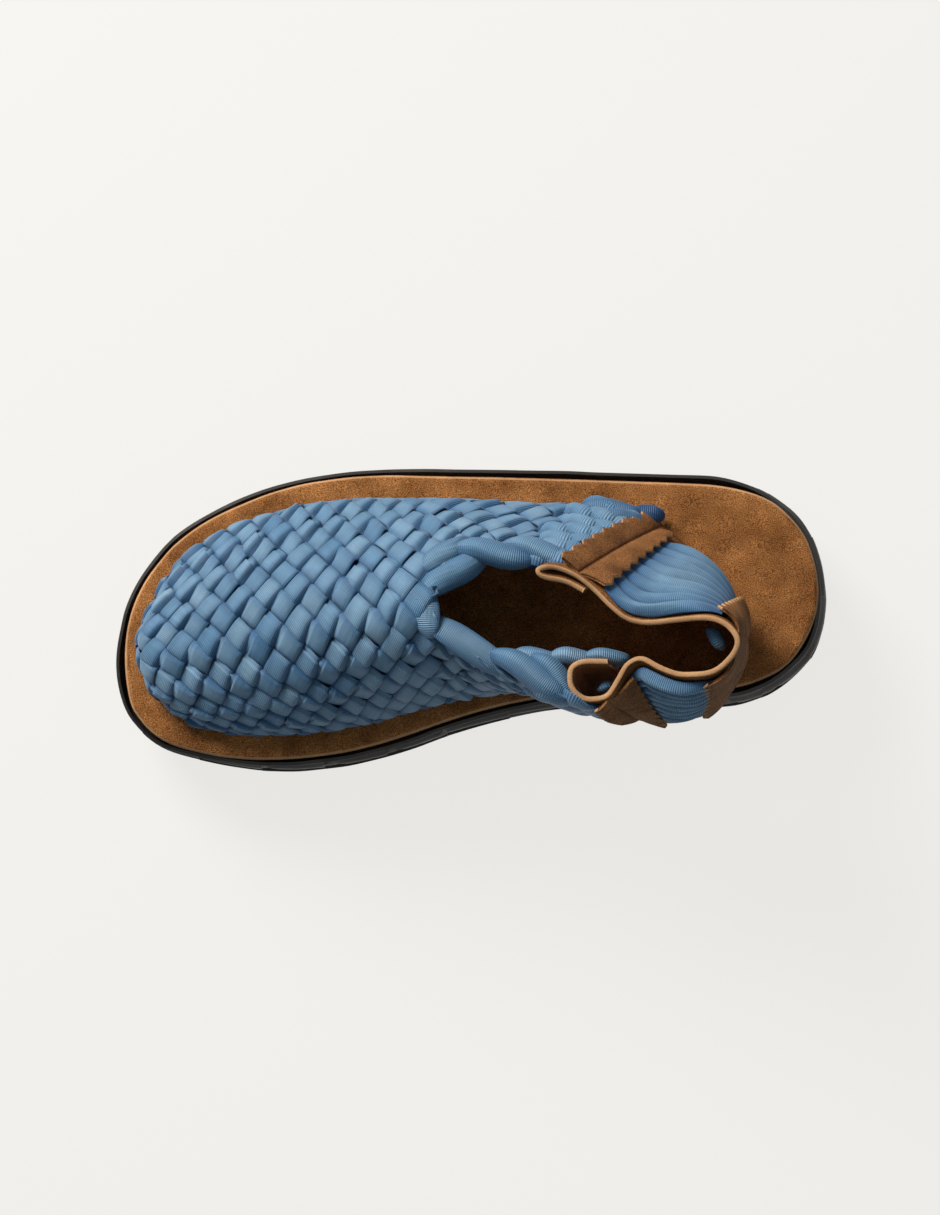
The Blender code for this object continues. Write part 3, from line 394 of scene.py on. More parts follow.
def vamp(across, back):
    """The vamp from its inner base (across 0) to its outer one (1) and from the toe (back 0)
    to the throat (1): in plan a blend of its four sides, raised to the dome."""
    fine = np.linspace(0, 1, 200)
    edge = [SOLE_WIDTH * float(read(UPPER_BASE, THROAT, column, "front"))
            for column in (MEDIAL, LATERAL)]
    y = edge[0] + (edge[1] - edge[0]) * fine
    section = np.column_stack([0 * y, y, dome(np.full(200, THROAT), y)])
    t = even_run(section, across)
    start = UPPER_BASE[0][0]
    shares = start + (THROAT - start) * fine
    ridge = np.column_stack([along(shares), UPPER_HEIGHT * read(CROWN, shares, 1, "front")])
    w = even_run(ridge, back)

    def base(share, side):
        return np.stack([along(share), SOLE_WIDTH * np.where(
            side > 0, read(UPPER_BASE, share, LATERAL, "front"),
            read(UPPER_BASE, share, MEDIAL, "front"))], -1)

    side = 2 * t - 1
    front = base(start + (TOE_CORNER - start) * side ** 2, side)
    rear = np.stack([along(np.full_like(t, THROAT)), edge[0] + (edge[1] - edge[0]) * t], -1)
    flank = TOE_CORNER + (THROAT - TOE_CORNER) * w
    inner, outer = base(flank, -np.ones_like(w)), base(flank, np.ones_like(w))
    corner = [base(np.full_like(t, TOE_CORNER), k * np.ones_like(t)) for k in (-1, 1)]
    rear_corner = [base(np.full_like(t, THROAT), k * np.ones_like(t)) for k in (-1, 1)]
    t, w = t[..., None], w[..., None]
    plan = ((1 - w) * front + w * rear + (1 - t) * inner + t * outer
            - (1 - t) * (1 - w) * corner[0] - t * (1 - w) * corner[1]
            - (1 - t) * w * rear_corner[0] - t * w * rear_corner[1])
    height = dome(share_of(plan[..., 0]), plan[..., 1])
    return np.concatenate([plan, height[..., None]], -1)


def quarter(across, back, outer):
    """One quarter: the throat's section moved back along the base line and the collar, and
    eased into the line of the sling's fold at its rear end."""
    edge = THROAT_CELLS[1 if outer else 0] / CELLS_ACROSS
    rise = (1 - across) / (1 - edge) if outer else across / edge
    section = vamp(across, np.ones_like(across))
    side, collar = (LATERAL, COLLAR_OUTER) if outer else (MEDIAL, COLLAR_INNER)
    fold_row = FOLD_ROWS[1 if outer else 0]
    clear = SUEDE / 2 + UPPER_WALL / 2 + WEAVE_RELIEF + 2 * GAP
    fold_low = sling_wall(np.array(fold_row), np.array(0.0))
    end = float(share_of(fold_low[0] - clear))
    share = THROAT + (end - THROAT) * back

    def base(at):
        return np.stack([along(at), SOLE_WIDTH * read(UPPER_BASE, at, side, "front"),
                         footbed_top(at) + GAP], -1)

    start = base(np.full_like(share, THROAT))
    low = base(share) - start
    high = np.stack([SHOE_LENGTH * read(collar, back, 1), SOLE_WIDTH * read(collar, back, 2),
                     UPPER_HEIGHT * read(collar, back, 3)], -1)
    rise = rise[..., None]
    fold = sling_wall(np.full_like(back, fold_row), rise[..., 0] * FOLD_TOP)
    fold = fold - np.array([clear, 0, 0])
    foot = base(np.full_like(share, end))
    fold = fold + (1 - rise) ** 2 * (foot - fold_low + np.array([clear, 0, 0]))
    last = section + (1 - rise) * (foot - start)
    last = last + rise * np.array([SHOE_LENGTH * collar[-1][1], SOLE_WIDTH * collar[-1][2],
                                   UPPER_HEIGHT * collar[-1][3]])
    ease = (back * back * (3 - 2 * back))[..., None]
    return section + (1 - rise) * low + rise * high + ease * (fold - last)


def woven_wall(u, v):
    """Middle of the woven wall at a place counted in cells: u across from the inner base,
    v back from the toe. Beyond the base it goes straight down, as the strips do."""
    u, v = np.broadcast_arrays(np.asarray(u, float), np.asarray(v, float))
    across = np.clip(u, 0, CELLS_ACROSS) / CELLS_ACROSS
    point = vamp(across, np.clip(v / CELLS_VAMP, 0, 1))
    back = np.clip((v - CELLS_VAMP) / CELLS_QUARTER, 0, 1)
    left, right = (cell / CELLS_ACROSS for cell in THROAT_CELLS)
    inner = quarter(np.minimum(across, left), back, False)
    outer = quarter(np.maximum(across, right), back, True)
    behind = v > CELLS_VAMP
    inner_side = u < sum(THROAT_CELLS) / 2
    point = np.where((behind & inner_side)[..., None], inner, point)
    point = np.where((behind & ~inner_side)[..., None], outer, point)
    beyond = np.maximum(np.maximum(-u, u - CELLS_ACROSS), np.maximum(-v, 0))
    point[..., 2] -= END_SINK * np.maximum(beyond, 0)
    return point


def woven_normal(u, v):
    """Outward normal of the woven wall, from small steps across and back."""
    small = 0.04
    right = woven_wall(np.clip(u + small, 0, CELLS_ACROSS), v)
    left = woven_wall(np.clip(u - small, 0, CELLS_ACROSS), v)
    behind = woven_wall(u, np.clip(v + small, 0, CELLS_VAMP + CELLS_QUARTER))
    ahead = woven_wall(u, np.clip(v - small, 0, CELLS_VAMP + CELLS_QUARTER))
    normal = np.cross(behind - ahead, right - left)
    length = np.linalg.norm(normal, axis=-1, keepdims=True)
    return normal / np.maximum(length, 1e-12)


# ---- making meshes ------------------------------------------------------------------

def quads(index):
    """Quads between the neighbours of a grid of point numbers."""
    a, b, c, d = index[:-1, :-1], index[1:, :-1], index[1:, 1:], index[:-1, 1:]
    return [tuple(f) for f in np.stack([a, b, c, d], -1).reshape(-1, 4)]


def ring_faces(rows, columns):
    """Quads of a grid of points whose rows are closed rings."""
    index = np.arange(rows * columns).reshape(rows, columns)
    return quads(np.concatenate([index, index[:, :1]], 1))


def tube_faces(rows, columns):
    """The quads of a grid of rings, then a flat cap on the first ring and one on the last."""
    last = (rows - 1) * columns
    caps = [tuple(range(columns))[::-1], tuple(range(last, last + columns))]
    return ring_faces(rows, columns) + caps


def piece(name, points, faces, material, uv=None, values=None, hides=()):
    """A shoe piece from points, quads and triangles. `uv` and `values` hold one entry a
    point; values become attributes that the material reads."""
    mesh = bpy.data.meshes.new(name)
    mesh.from_pydata(np.asarray(points).tolist(), [], [list(map(int, f)) for f in faces])
    mesh.update()
    corners = np.empty(len(mesh.loops), np.int32)
    mesh.loops.foreach_get("vertex_index", corners)
    if uv is not None:
        layer = mesh.uv_layers.new(name="strip")
        layer.data.foreach_set("uv", np.asarray(uv, np.float32)[corners].ravel())
    for key, entry in (values or {}).items():
        attribute = mesh.attributes.new(key, "FLOAT", "POINT")
        attribute.data.foreach_set("value", np.asarray(entry, np.float32).ravel())
    mesh.shade_smooth()
    mesh.materials.append(material)
    made = bpy.data.objects.new(name, mesh)
    bpy.context.scene.collection.objects.link(made)
    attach(made, "root")
    if hides:
        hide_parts(*hides)
    return made


def second_material(made, material, marked):
    """Gives the marked faces of a piece, one entry a face, a second material."""
    made.data.materials.append(material)
    made.data.polygons.foreach_set("material_index", np.asarray(marked, np.int32))


def outward_faces(points, faces):
    """The faces, turned over together if the closed shape that they make is inside out.
    Faces of any number of corners are fanned for the sum of the volume."""
    points = np.asarray(points)
    volume = 0.0
    for size in sorted({len(f) for f in faces}):
        corner = points[np.array([f for f in faces if len(f) == size])]
        for k in range(1, size - 1):
            volume += np.sum(np.cross(corner[:, 0], corner[:, k]) * corner[:, k + 1])
    return faces if volume > 0 else [tuple(f)[::-1] for f in faces]


class Pile:
    """Collects several closed shapes into one piece."""

    def __init__(self):
        self.points, self.faces, self.uv, self.values, self.count = [], [], [], {}, 0

    def add(self, points, faces, uv, **values):
        points = np.asarray(points).reshape(-1, 3)
        faces = outward_faces(points, [tuple(f) for f in faces])
        self.faces += [tuple(self.count + i for i in f) for f in faces]
        self.points.append(points)
        self.uv.append(np.asarray(uv).reshape(-1, 2))
        for key, entry in values.items():
            self.values.setdefault(key, []).append(np.broadcast_to(entry, len(points)).ravel())
        self.count += len(points)

    def make(self, name, material, hides=()):
        values = {key: np.concatenate(entry) for key, entry in self.values.items()}
        return piece(name, np.concatenate(self.points), self.faces, material,
                     np.concatenate(self.uv), values, hides)


def ribbon(pile, centre, normal, across, half, thick, crown, tone, lift, belly=0.0):
    """A flat strip along a path: its section is a lens, crowned above, and below by the share
    `belly` of that. Adds it to the pile. `half`, `thick`, `crown` and `lift` may change along
    the path; `across` is the unit direction of its width. `lift` is painted shade: 1 keeps the
    full colour, lower values paint it darker, and it is painted darker still towards the edges."""
    ring = np.array([-1, -0.96, -0.75, -0.4, 0, 0.4, 0.75, 0.96, 1, 0.5, -0.5])
    top = np.array([0.0, 0.55, 0.8, 0.95, 1, 0.95, 0.8, 0.55, 0, -0.35, -0.35])
    half, thick, crown, lift = (np.broadcast_to(e, len(centre))[:, None]
                                for e in (half, thick, crown, lift))
    rise = top * thick / 2 + crown * (1 - ring ** 2) * np.where(top < 0, -belly, top > 0)
    points = (centre[:, None] + across[:, None] * (half * ring)[..., None]
              + normal[:, None] * rise[..., None])
    length = length_along(centre)[:, None]
    uv = np.stack([length + 0 * ring, half * ring + 0 * length], -1) * 1000
    # Painted shade: darker towards the strip's edges, scaled by the lift value.
    painted_shade_factor = lift * (1 - 0.5 * ring ** 2) + 0 * rise
    pile.add(points, tube_faces(*points.shape[:2]), uv, tone=tone, lift=painted_shade_factor.ravel())


# ---- materials ----------------------------------------------------------------------

def add_node(tree, kind, values=None, **settings):
    """A shader node with its settings and the values of its inputs."""
    made = tree.nodes.new(kind)
    for key, value in settings.items():
        setattr(made, key, value)
    for key, value in (values or {}).items():
        made.inputs[key].default_value = value
    return made


def link(tree, source, output, target, entry):
    """Joins an output of one shader node to an input of another."""
    tree.links.new(source.outputs[output], target.inputs[entry])


def effect_group(name, inputs, outputs):
    """An empty shader node group with named inputs and outputs."""
    group = bpy.data.node_groups.new(name, "ShaderNodeTree")
    for label, kind, value in inputs:
        made = group.interface.new_socket(label, in_out="INPUT", socket_type=kind)
        made.default_value = value
    for label, kind in outputs:
        group.interface.new_socket(label, in_out="OUTPUT", socket_type=kind)
    return group, group.nodes.new("NodeGroupInput"), group.nodes.new("NodeGroupOutput")


def grain_group():
    """Two scales of noise: Blotch for broad changes of tone and Grain for the fine nap."""
    group, start, end = effect_group(
        "grain", [("Vector", "NodeSocketVector", (0, 0, 0)), ("Broad", "NodeSocketFloat", 60.0),
                  ("Fine", "NodeSocketFloat", 1400.0)],
        [("Blotch", "NodeSocketFloat"), ("Grain", "NodeSocketFloat")])
    for entry, detail, out, reach in (("Broad", 4.0, "Blotch", 0.20), ("Fine", 3.0, "Grain", 0.13)):
        noise = add_node(group, "ShaderNodeTexNoise", {"Detail": detail, "Roughness": 0.6})
        link(group, start, "Vector", noise, "Vector")
        link(group, start, entry, noise, "Scale")
        spread = add_node(group, "ShaderNodeMapRange",
                          {"From Min": 0.5 - reach, "From Max": 0.5 + reach})
        link(group, noise, "Fac", spread, "Value")
        link(group, spread, "Result", end, out)
    return group


def start_material(name):
    """A new material, its nodes and its Principled BSDF."""
    material = bpy.data.materials.new(name)
    material.use_nodes = True
    tree = material.node_tree
    return material, tree, tree.nodes["Principled BSDF"]


def placed(tree, group, vector, output, **values):
    """A group in a material, fed with a coordinate."""
    made = tree.nodes.new("ShaderNodeGroup")
    made.node_tree = group
    for key, value in values.items():
        made.inputs[key].default_value = value
    if vector is not None:
        link(tree, vector, output, made, "Vector")
    return made


def blend(tree, factor, factor_out, low, high, kind="MIX"):
    """Mix node between two colours or sockets by a factor."""
    mix = add_node(tree, "ShaderNodeMix", data_type="RGBA", blend_type=kind)
    if factor is None:
        mix.inputs[MIX_FACTOR].default_value = factor_out
    else:
        tree.links.new(factor.outputs[factor_out], mix.inputs[MIX_FACTOR])
    for slot, entry in ((MIX_LOW, low), (MIX_HIGH, high)):
        if isinstance(entry, tuple) and not hasattr(entry[0], "outputs"):
            mix.inputs[slot].default_value = (*entry, 1)
        else:
            tree.links.new(entry[0].outputs[entry[1]], mix.inputs[slot])
    return mix


def times(tree, colour, tint):
    """One mixed colour multiplied by another."""
    return blend(tree, None, 1.0, (colour, MIX_COLOUR), (tint, MIX_COLOUR), "MULTIPLY")


def suede(name, grain, dark, light, speckle=0.30, fine=2600.0, broad=75.0, bump=0.6):
    """Brown suede: a short nap that catches light unevenly."""
    material, tree, shader = start_material(name)
    place = add_node(tree, "ShaderNodeTexCoord")
    nap = placed(tree, grain, place, "Object", Broad=broad, Fine=fine)
    tone = blend(tree, nap, "Blotch", dark, light)
    speck = blend(tree, nap, "Grain", (1 - 1.25 * speckle,) * 3, (1 + 1.35 * speckle,) * 3)
    link(tree, times(tree, tone, speck), MIX_COLOUR, shader, "Base Color")
    shader.inputs["Roughness"].default_value = 0.95
    shader.inputs["Specular IOR Level"].default_value = 0.15
    shader.inputs["Sheen Weight"].default_value = 0.12
    shader.inputs["Sheen Roughness"].default_value = 0.6
    shader.inputs["Sheen Tint"].default_value = (0.80, 0.45, 0.22, 1)
    relief = add_node(tree, "ShaderNodeBump", {"Strength": bump, "Distance": 0.0006})
    link(tree, nap, "Grain", relief, "Height")
    link(tree, relief, "Normal", shader, "Normal")
    return material


def nylon(name, grain, dark, light, rib=0.72):
    """Ribbed nylon webbing: fine ribs across the strip, with painted shade where it dips under
    and painted shade and highlight along its ribs and fold streaks.
    """
    material, tree, shader = start_material(name)
    place = add_node(tree, "ShaderNodeUVMap", uv_map="strip")
    split = add_node(tree, "ShaderNodeSeparateXYZ")
    link(tree, place, "UV", split, "Vector")
    wave = add_node(tree, "ShaderNodeMath", {1: 2 * np.pi / rib}, operation="MULTIPLY")
    link(tree, split, "X", wave, 0)
    sine = add_node(tree, "ShaderNodeMath", operation="SINE")
    link(tree, wave, 0, sine, 0)
    tone = add_node(tree, "ShaderNodeAttribute", attribute_name="tone")
    # The "lift" attribute holds painted shade: low where strips dip under, towards their edges and
    # at their ends.
    lift = add_node(tree, "ShaderNodeAttribute", attribute_name="lift")
    spot = add_node(tree, "ShaderNodeTexCoord")
    mottle = placed(tree, grain, spot, "Object", Broad=140.0, Fine=2600.0)
    stretch = add_node(tree, "ShaderNodeMapping", {"Scale": (0.07, 0.75, 1.0)})
    link(tree, place, "UV", stretch, "Vector")
    streak = add_node(tree, "ShaderNodeTexNoise", {"Scale": 1.0, "Detail": 2.0})
    link(tree, stretch, "Vector", streak, "Vector")
    base = blend(tree, tone, "Fac", dark, light)
    # Lighter and darker streaks along the strip: painted light and shade of its folds, from the
    # same noise as their bump.
    folds = blend(tree, streak, "Fac", (0.90, 0.92, 0.94), (1.12, 1.10, 1.08))
    base = times(tree, base, folds)
    shade = blend(tree, mottle, "Blotch", (0.86, 0.86, 0.86), (1.12, 1.12, 1.12))
    base = times(tree, base, shade)
    # Painted shade: the colour is darkened towards deep blue where that attribute is low.
    dip_shade_range = add_node(tree, "ShaderNodeMapRange", {"From Min": 0.2, "From Max": 1.0,
                                               "To Min": 0.0, "To Max": 1.0})
    link(tree, lift, "Fac", dip_shade_range, "Value")
    painted_dip_shade = blend(tree, dip_shade_range, "Result", (0.04, 0.26, 0.48), (1.0, 1.0, 1.0))
    base = times(tree, base, painted_dip_shade)
    # Darker rib grooves and lighter crests: painted shade and painted highlight along the same sine
    # as the rib bump.
    ribs = add_node(tree, "ShaderNodeMapRange", {"From Min": -1.0, "From Max": 0.2})
    link(tree, sine, 0, ribs, "Value")
    lines = blend(tree, ribs, "Result", (0.60, 0.68, 0.76), (1.10, 1.07, 1.05))
    link(tree, times(tree, base, lines), MIX_COLOUR, shader, "Base Color")
    shader.inputs["Roughness"].default_value = 0.52
    shader.inputs["Specular IOR Level"].default_value = 0.35
    shader.inputs["Sheen Weight"].default_value = 0.25
    shader.inputs["Sheen Roughness"].default_value = 0.45
    shader.inputs["Sheen Tint"].default_value = (0.55, 0.72, 0.90, 1)
    soft = add_node(tree, "ShaderNodeBump", {"Strength": 0.45, "Distance": 0.0008})
    link(tree, streak, "Fac", soft, "Height")
    relief = add_node(tree, "ShaderNodeBump", {"Strength": 0.55, "Distance": 0.00018})
    link(tree, sine, 0, relief, "Height")
    link(tree, soft, "Normal", relief, "Normal")
    link(tree, relief, "Normal", shader, "Normal")
    return material


def rubber(name, grain, colour, dust, rough=0.5, dust_low=0.55, pebble=False):
    """Black rubber with pale dust in patches. Pebbled where the attribute says so."""
    material, tree, shader = start_material(name)
    place = add_node(tree, "ShaderNodeTexCoord")
    marks = placed(tree, grain, place, "Object", Broad=34.0, Fine=900.0)
    patch = add_node(tree, "ShaderNodeMapRange", {"From Min": dust_low, "From Max": 1.15,
                                                 "To Max": 0.85})
    link(tree, marks, "Blotch", patch, "Value")
    mixed = blend(tree, patch, "Result", colour, dust)
    link(tree, mixed, MIX_COLOUR, shader, "Base Color")
    shine = add_node(tree, "ShaderNodeMapRange", {"To Min": rough - 0.08, "To Max": rough + 0.2})
    link(tree, marks, "Blotch", shine, "Value")
    link(tree, shine, "Result", shader, "Roughness")
    shader.inputs["Specular IOR Level"].default_value = 0.4
    relief = add_node(tree, "ShaderNodeBump", {"Strength": 0.25, "Distance": 0.0003})
    if pebble:
        cells = add_node(tree, "ShaderNodeTexVoronoi", {"Scale": 950.0}, feature="SMOOTH_F1")
        link(tree, place, "Object", cells, "Vector")
        where = add_node(tree, "ShaderNodeAttribute", attribute_name="pebbled")
        bumps = add_node(tree, "ShaderNodeMath", operation="MULTIPLY")
        link(tree, cells, "Distance", bumps, 0)
        link(tree, where, "Fac", bumps, 1)
        link(tree, bumps, 0, relief, "Height")
        relief.inputs["Strength"].default_value = 0.5
        relief.invert = True
    else:
        link(tree, marks, "Grain", relief, "Height")
    link(tree, relief, "Normal", shader, "Normal")
    return material


def plain(name, colour, rough):
    """A smooth pale finish with a faint mottle."""
    material, tree, shader = start_material(name)
    place = add_node(tree, "ShaderNodeTexCoord")
    noise = add_node(tree, "ShaderNodeTexNoise", {"Scale": 90.0, "Detail": 4.0})
    link(tree, place, "Object", noise, "Vector")
    tint = blend(tree, noise, "Fac", tuple(0.88 * c for c in colour), colour)
    link(tree, tint, MIX_COLOUR, shader, "Base Color")
    shader.inputs["Roughness"].default_value = rough
    return material


# ---- pieces -------------------------------------------------------------------------

def make_woven_strips(material):
    """All strips of the upper, woven over and under. A strip of the first set keeps u - v
    at a whole number and one of the second keeps u + v, and each passes over where the sum
    of the two is even (first set) or odd (second set)."""
    chance = np.random.default_rng(7)
    depth = CELLS_VAMP + CELLS_QUARTER
    other = np.arange(-40 * STEPS_PER_CELL, 60 * STEPS_PER_CELL + 1) / STEPS_PER_CELL
    for family, name, lines in ((0, "strips_forward", range(-depth, CELLS_ACROSS + 1)),
                                (1, "strips_backward", range(depth + CELLS_ACROSS + 1))):
        pile = Pile()
        for line in lines:
            u, v = cells_at(family, other, line)
            inside = ((u > -END_PAD) & (u < CELLS_ACROSS + END_PAD)
                      & (v > -END_PAD) & (v < depth))
            hole = ((v > CELLS_VAMP - THROAT_MARGIN) & (u > THROAT_CELLS[0] + THROAT_MARGIN)
                    & (u < THROAT_CELLS[1] - THROAT_MARGIN))
            inside &= ~hole
            edges = np.flatnonzero(np.diff(np.concatenate([[0], inside.astype(int), [0]])))
            for first, last in zip(edges[::2], edges[1::2]):
                if last - first > STEPS_PER_CELL // 2:
                    add_woven(pile, family, line, other[first:last], chance)
        pile.make(name, material, ("upper",) if family == 0 else ())


def cells_at(family, run, side):
    """Place in cells of a point of a strip: `run` along it and `side` across it. The first
    set takes half their sum and half their difference, and the second the difference of
    `side` and `run`."""
    return (run + side) / 2, ((run - side) if family == 0 else (side - run)) / 2


def add_woven(pile, family, line, other, chance):
    """One strip: its surface points lie on the woven wall, raised or lowered by the weave,
    crowned across, and narrower where it dips. Each place where it passes over has its own
    tone, shift and tilt."""
    ring = np.array([-1, -0.95, -0.75, -0.4, 0, 0.4, 0.56, 0.62, 0.95, 1, 0.5, -0.5])
    top = np.array([0.0, 0.55, 0.9, 0.98, 1, 0.98, 0.95, 0.92, 0.55, 0, -0.5, -0.5])
    phase = np.pi * (other - line)
    sign = 1 if family == 0 else -1
    wave = np.tanh(3.6 * sign * np.cos(phase)) / np.tanh(3.6)
    peaks = 2 * np.floor((other - line - family + 1) / 2).astype(int)
    patch = np.unique(peaks, return_inverse=True)[1]
    tones, shifts, tilts, widths = chance.standard_normal((4, patch.max() + 1))[:, patch]
    doubled = 1.5 * np.clip(0.5 + tilts, 0, 1)[:, None] * ((ring > 0.6) & (ring < 0.99))
    own = 0.5 + 0.5 * wave
    width = STRIP_HALF * (1 + 0.045 * widths * own)
    shift = 0.035 * shifts * own + 0.02 * np.sin(1.7 * other + chance.uniform(0, 6))
    side = line + shift[:, None] + width[:, None] * ring
    u, v = cells_at(family, other[:, None] + 0 * side, side)
    u, v = tuck_in(u), tuck_in(v)
    u = CELLS_ACROSS - tuck_in(CELLS_ACROSS - u)
    u = np.where((v > CELLS_VAMP) & (line_side(u) < 0), np.minimum(u, THROAT_CELLS[0]), u)
    u = np.where((v > CELLS_VAMP) & (line_side(u) > 0), np.maximum(u, THROAT_CELLS[1]), u)
    v = np.minimum(v, CELLS_VAMP + CELLS_QUARTER)
    point, normal = woven_wall(u, v), woven_normal(u, v)
    cell = np.linalg.norm(point[:, 8] - point[:, 1], axis=-1)[:, None]
    scale = np.clip(cell / STRIP_CELL, 0.45, 1.15)
    slope = 0.00025 * tilts[:, None] * own[:, None] * ring
    slope = slope + TILE * np.sin(phase)[:, None] * (1 + 0.5 * tilts[:, None])
    lift = (UPPER_WALL / 2 + STRIP_WAVE * wave[:, None] + STRIP_CROWN * (1 - ring ** 2)
            * (0.35 + 0.65 * own[:, None]) - STRIP_CROWN * 0.8 * ring ** 6
            + (top - doubled) * STRIP_THICK / 2 + slope) * scale
    tucked = np.clip((np.minimum(np.minimum(u, CELLS_ACROSS - u), v) + 0.16) / 0.6, 0, 1)
    lift = lift * (0.3 + 0.7 * tucked) - 0.0004 * (1 - tucked)
    points = point + normal * lift[..., None]
    length = length_along(points[:, 4])[:, None]
    uv = np.stack([length + 0 * ring, ring * cell / 2 + chance.uniform(0, 90)], -1) * 1000
    # Painted shade, stored as the lift attribute: darker where the strip dips under the crossing
    # one and towards its edges.
    height = np.clip((0.5 + 0.5 * sign * np.cos(phase)[:, None]) * (1 - 0.32 * ring ** 6), 0, 1)
    tone = np.repeat(np.clip(0.5 + 0.20 * tones, 0, 1), len(ring))
    pile.add(points, tube_faces(*points.shape[:2]), uv, tone=tone, lift=(height + 0 * u).ravel())


def tuck_in(cells):
    """Cells counted from an edge of the upper, with the part past the edge drawn up to 0.15
    of its length, so that every strip goes just under the footbed's face."""
    return np.where(cells < -0.1, -0.1 + 0.15 * (cells + 0.1), cells)


def line_side(u):
    """-1 on the inner side of the throat's middle, 1 on the outer side."""
    return np.sign(u - sum(THROAT_CELLS) / 2)


def leaf(pile, start, end, half, thick, bow, tone, sink=0.0026, up=(0, 0, 1), painted_light_share=1.0):
    """A plump turn of a strip between two points: it bows sideways, its ends narrow and sink,
    and its face rolls from one side to the other along the way. Painted shade darkens its ends,
    and its last argument scales how much painted light it keeps all along."""
    start, end, up = np.array(start, float), np.array(end, float), np.array(up, float)
    t = np.linspace(0, 1, 25)
    onward = unit(end - start)
    side = unit(np.cross(up, onward))
    lift = np.cross(onward, side)
    arch = 4 * t * (1 - t)
    sway = bow * np.sin(2 * np.pi * t) * 0.6
    centre = (start + (end - start) * t[:, None] + side * (bow * arch * 0.4 + sway)[:, None]
              + lift * (0.0010 * arch - sink * np.abs(2 * t - 1) ** 4)[:, None])
    forward = unit(np.gradient(centre, axis=0))
    roll = 0.55 * (1 - 2 * t)[:, None] * (1 if bow >= 0 else -1)
    face = lift + side * roll
    face = unit(face - forward * np.sum(face * forward, 1, keepdims=True))
    full = (1 - np.abs(2 * t - 1) ** 2.8) ** 0.62
    flat = 0.0012
    # The lift passed here is painted shade: darker where the ends narrow and sink.
    ribbon(pile, centre, face, np.cross(face, forward), half * (0.22 + 0.78 * full), flat,
           (thick - flat) * (0.25 + 0.75 * full), tone, painted_light_share * np.clip(0.10 + 1.0 * full, 0, 1),
           belly=0.8)


def make_collar(material):
    """Turned strips along the collar and the ends of the quarters, and the strips that pass
    from the quarters' ends under the suede."""
    pile = Pile()
    chance = np.random.default_rng(5)
    depth = CELLS_VAMP + CELLS_QUARTER
    back = np.linspace(CELLS_VAMP, depth, 40)
    for cell, turns in ((THROAT_CELLS[1], TURNS_OUTER), (THROAT_CELLS[0], TURNS_INNER)):
        edge = woven_wall(np.full(40, cell), back)
        for row in turns:
            mm = np.array(row) / 1000
            start = (mm[0], mm[1], mm[2] + np.interp(mm[0], edge[:, 0], edge[:, 2]) + 0.0012)
            end = (mm[3], mm[4], mm[5] + np.interp(mm[3], edge[:, 0], edge[:, 2]) + 0.0012)
            leaf(pile, start, end, *mm[6:], np.clip(0.5 + 0.2 * chance.standard_normal(), 0, 1))
    for row in STRIP_ENDS:
        mm = np.array(row) / 1000
        # Painted shade: these ends take a fixed dark tone and their table's last column darkens
        # them further.
        leaf(pile, mm[:3], mm[3:6], *mm[6:9], 0.12, 0.0016, painted_light_share=row[9])
    for first_strip, last_strip, count in (ENTRIES_OUTER, ENTRIES_INNER):
        for strip, (cell, row, rise) in enumerate(np.linspace(first_strip, last_strip, count)):
            here, away = np.array(cell), np.array(depth - 0.75)
            start = woven_wall(here, away) + 0.0010 * woven_normal(here, away)
            row, rise = np.array(row), np.array(rise)
            outward = sling_normal(row, rise)
            end = sling_wall(row, rise) + outward * (SUEDE / 2 + 0.0006)
            for first, last in ENTRY_LENGTHS[strip % 2]:
                thick, sink = (0.0046, 0.0020) if last < 1 else (0.0030, 0.0008)
                leaf(pile, start + (end - start) * first, start + (end - start) * last, 0.0051,
                     thick, 0.0016, np.clip(0.5 + 0.2 * chance.standard_normal(), 0, 1),
                     sink, outward)
    pile.make("collar_strips", material)


def make_covers(face_material, edge_material):
    """Suede with pinked edges over the places where strips pass under it. Each cover starts
    flush in the sling's outer face and rises to its zigzag edge."""
    pile = Pile()
    teeth = np.linspace(0, COVER_TEETH, COVER_TEETH * 8 + 1)
    zigzag = np.abs((teeth % 1) - 0.5) * 2
    part = np.linspace(0, 1, 11)[None, :]
    rim = (10, 11)           # the two faces of each section that make the cut edge
    pale = []
    for flush_low, flush_high, edge_low, edge_high, low, high in SUEDE_COVERS:
        up = (teeth / COVER_TEETH)[:, None]
        rise = low + (high - low) * up
        flush = flush_low + (flush_high - flush_low) * up
        edge = edge_low + (edge_high - edge_low) * up
        reach = np.linalg.norm(sling_wall(edge, rise) - sling_wall(flush, rise), axis=-1)
        row = flush + (edge - flush) * part * (1 - zigzag[:, None] * COVER_TOOTH / reach)
        rise = rise + 0 * row
        wall, normal = sling_wall(row, rise), sling_normal(row, rise)
        height = SUEDE / 2 + COVER_RISE * (part ** 0.8) + 0.00015
        outer = wall + normal * height[..., None]
        under = wall + normal * (height - COVER_THICK)[..., None]
        middle = (outer[:, -1:] + under[:, -1:]) / 2 + 0.3 * (outer[:, -1:] - outer[:, -2:-1])
        loop = np.concatenate([outer, middle, under[:, ::-1]], 1)
        rows, count = loop.shape[:2]
        pile.add(loop, tube_faces(rows, count), np.zeros((rows * count, 2)))
        pale += [np.isin(np.arange((rows - 1) * count) % count, rim), [False, False]]
    made = pile.make("suede_covers", face_material)
    second_material(made, edge_material, np.concatenate(pale))


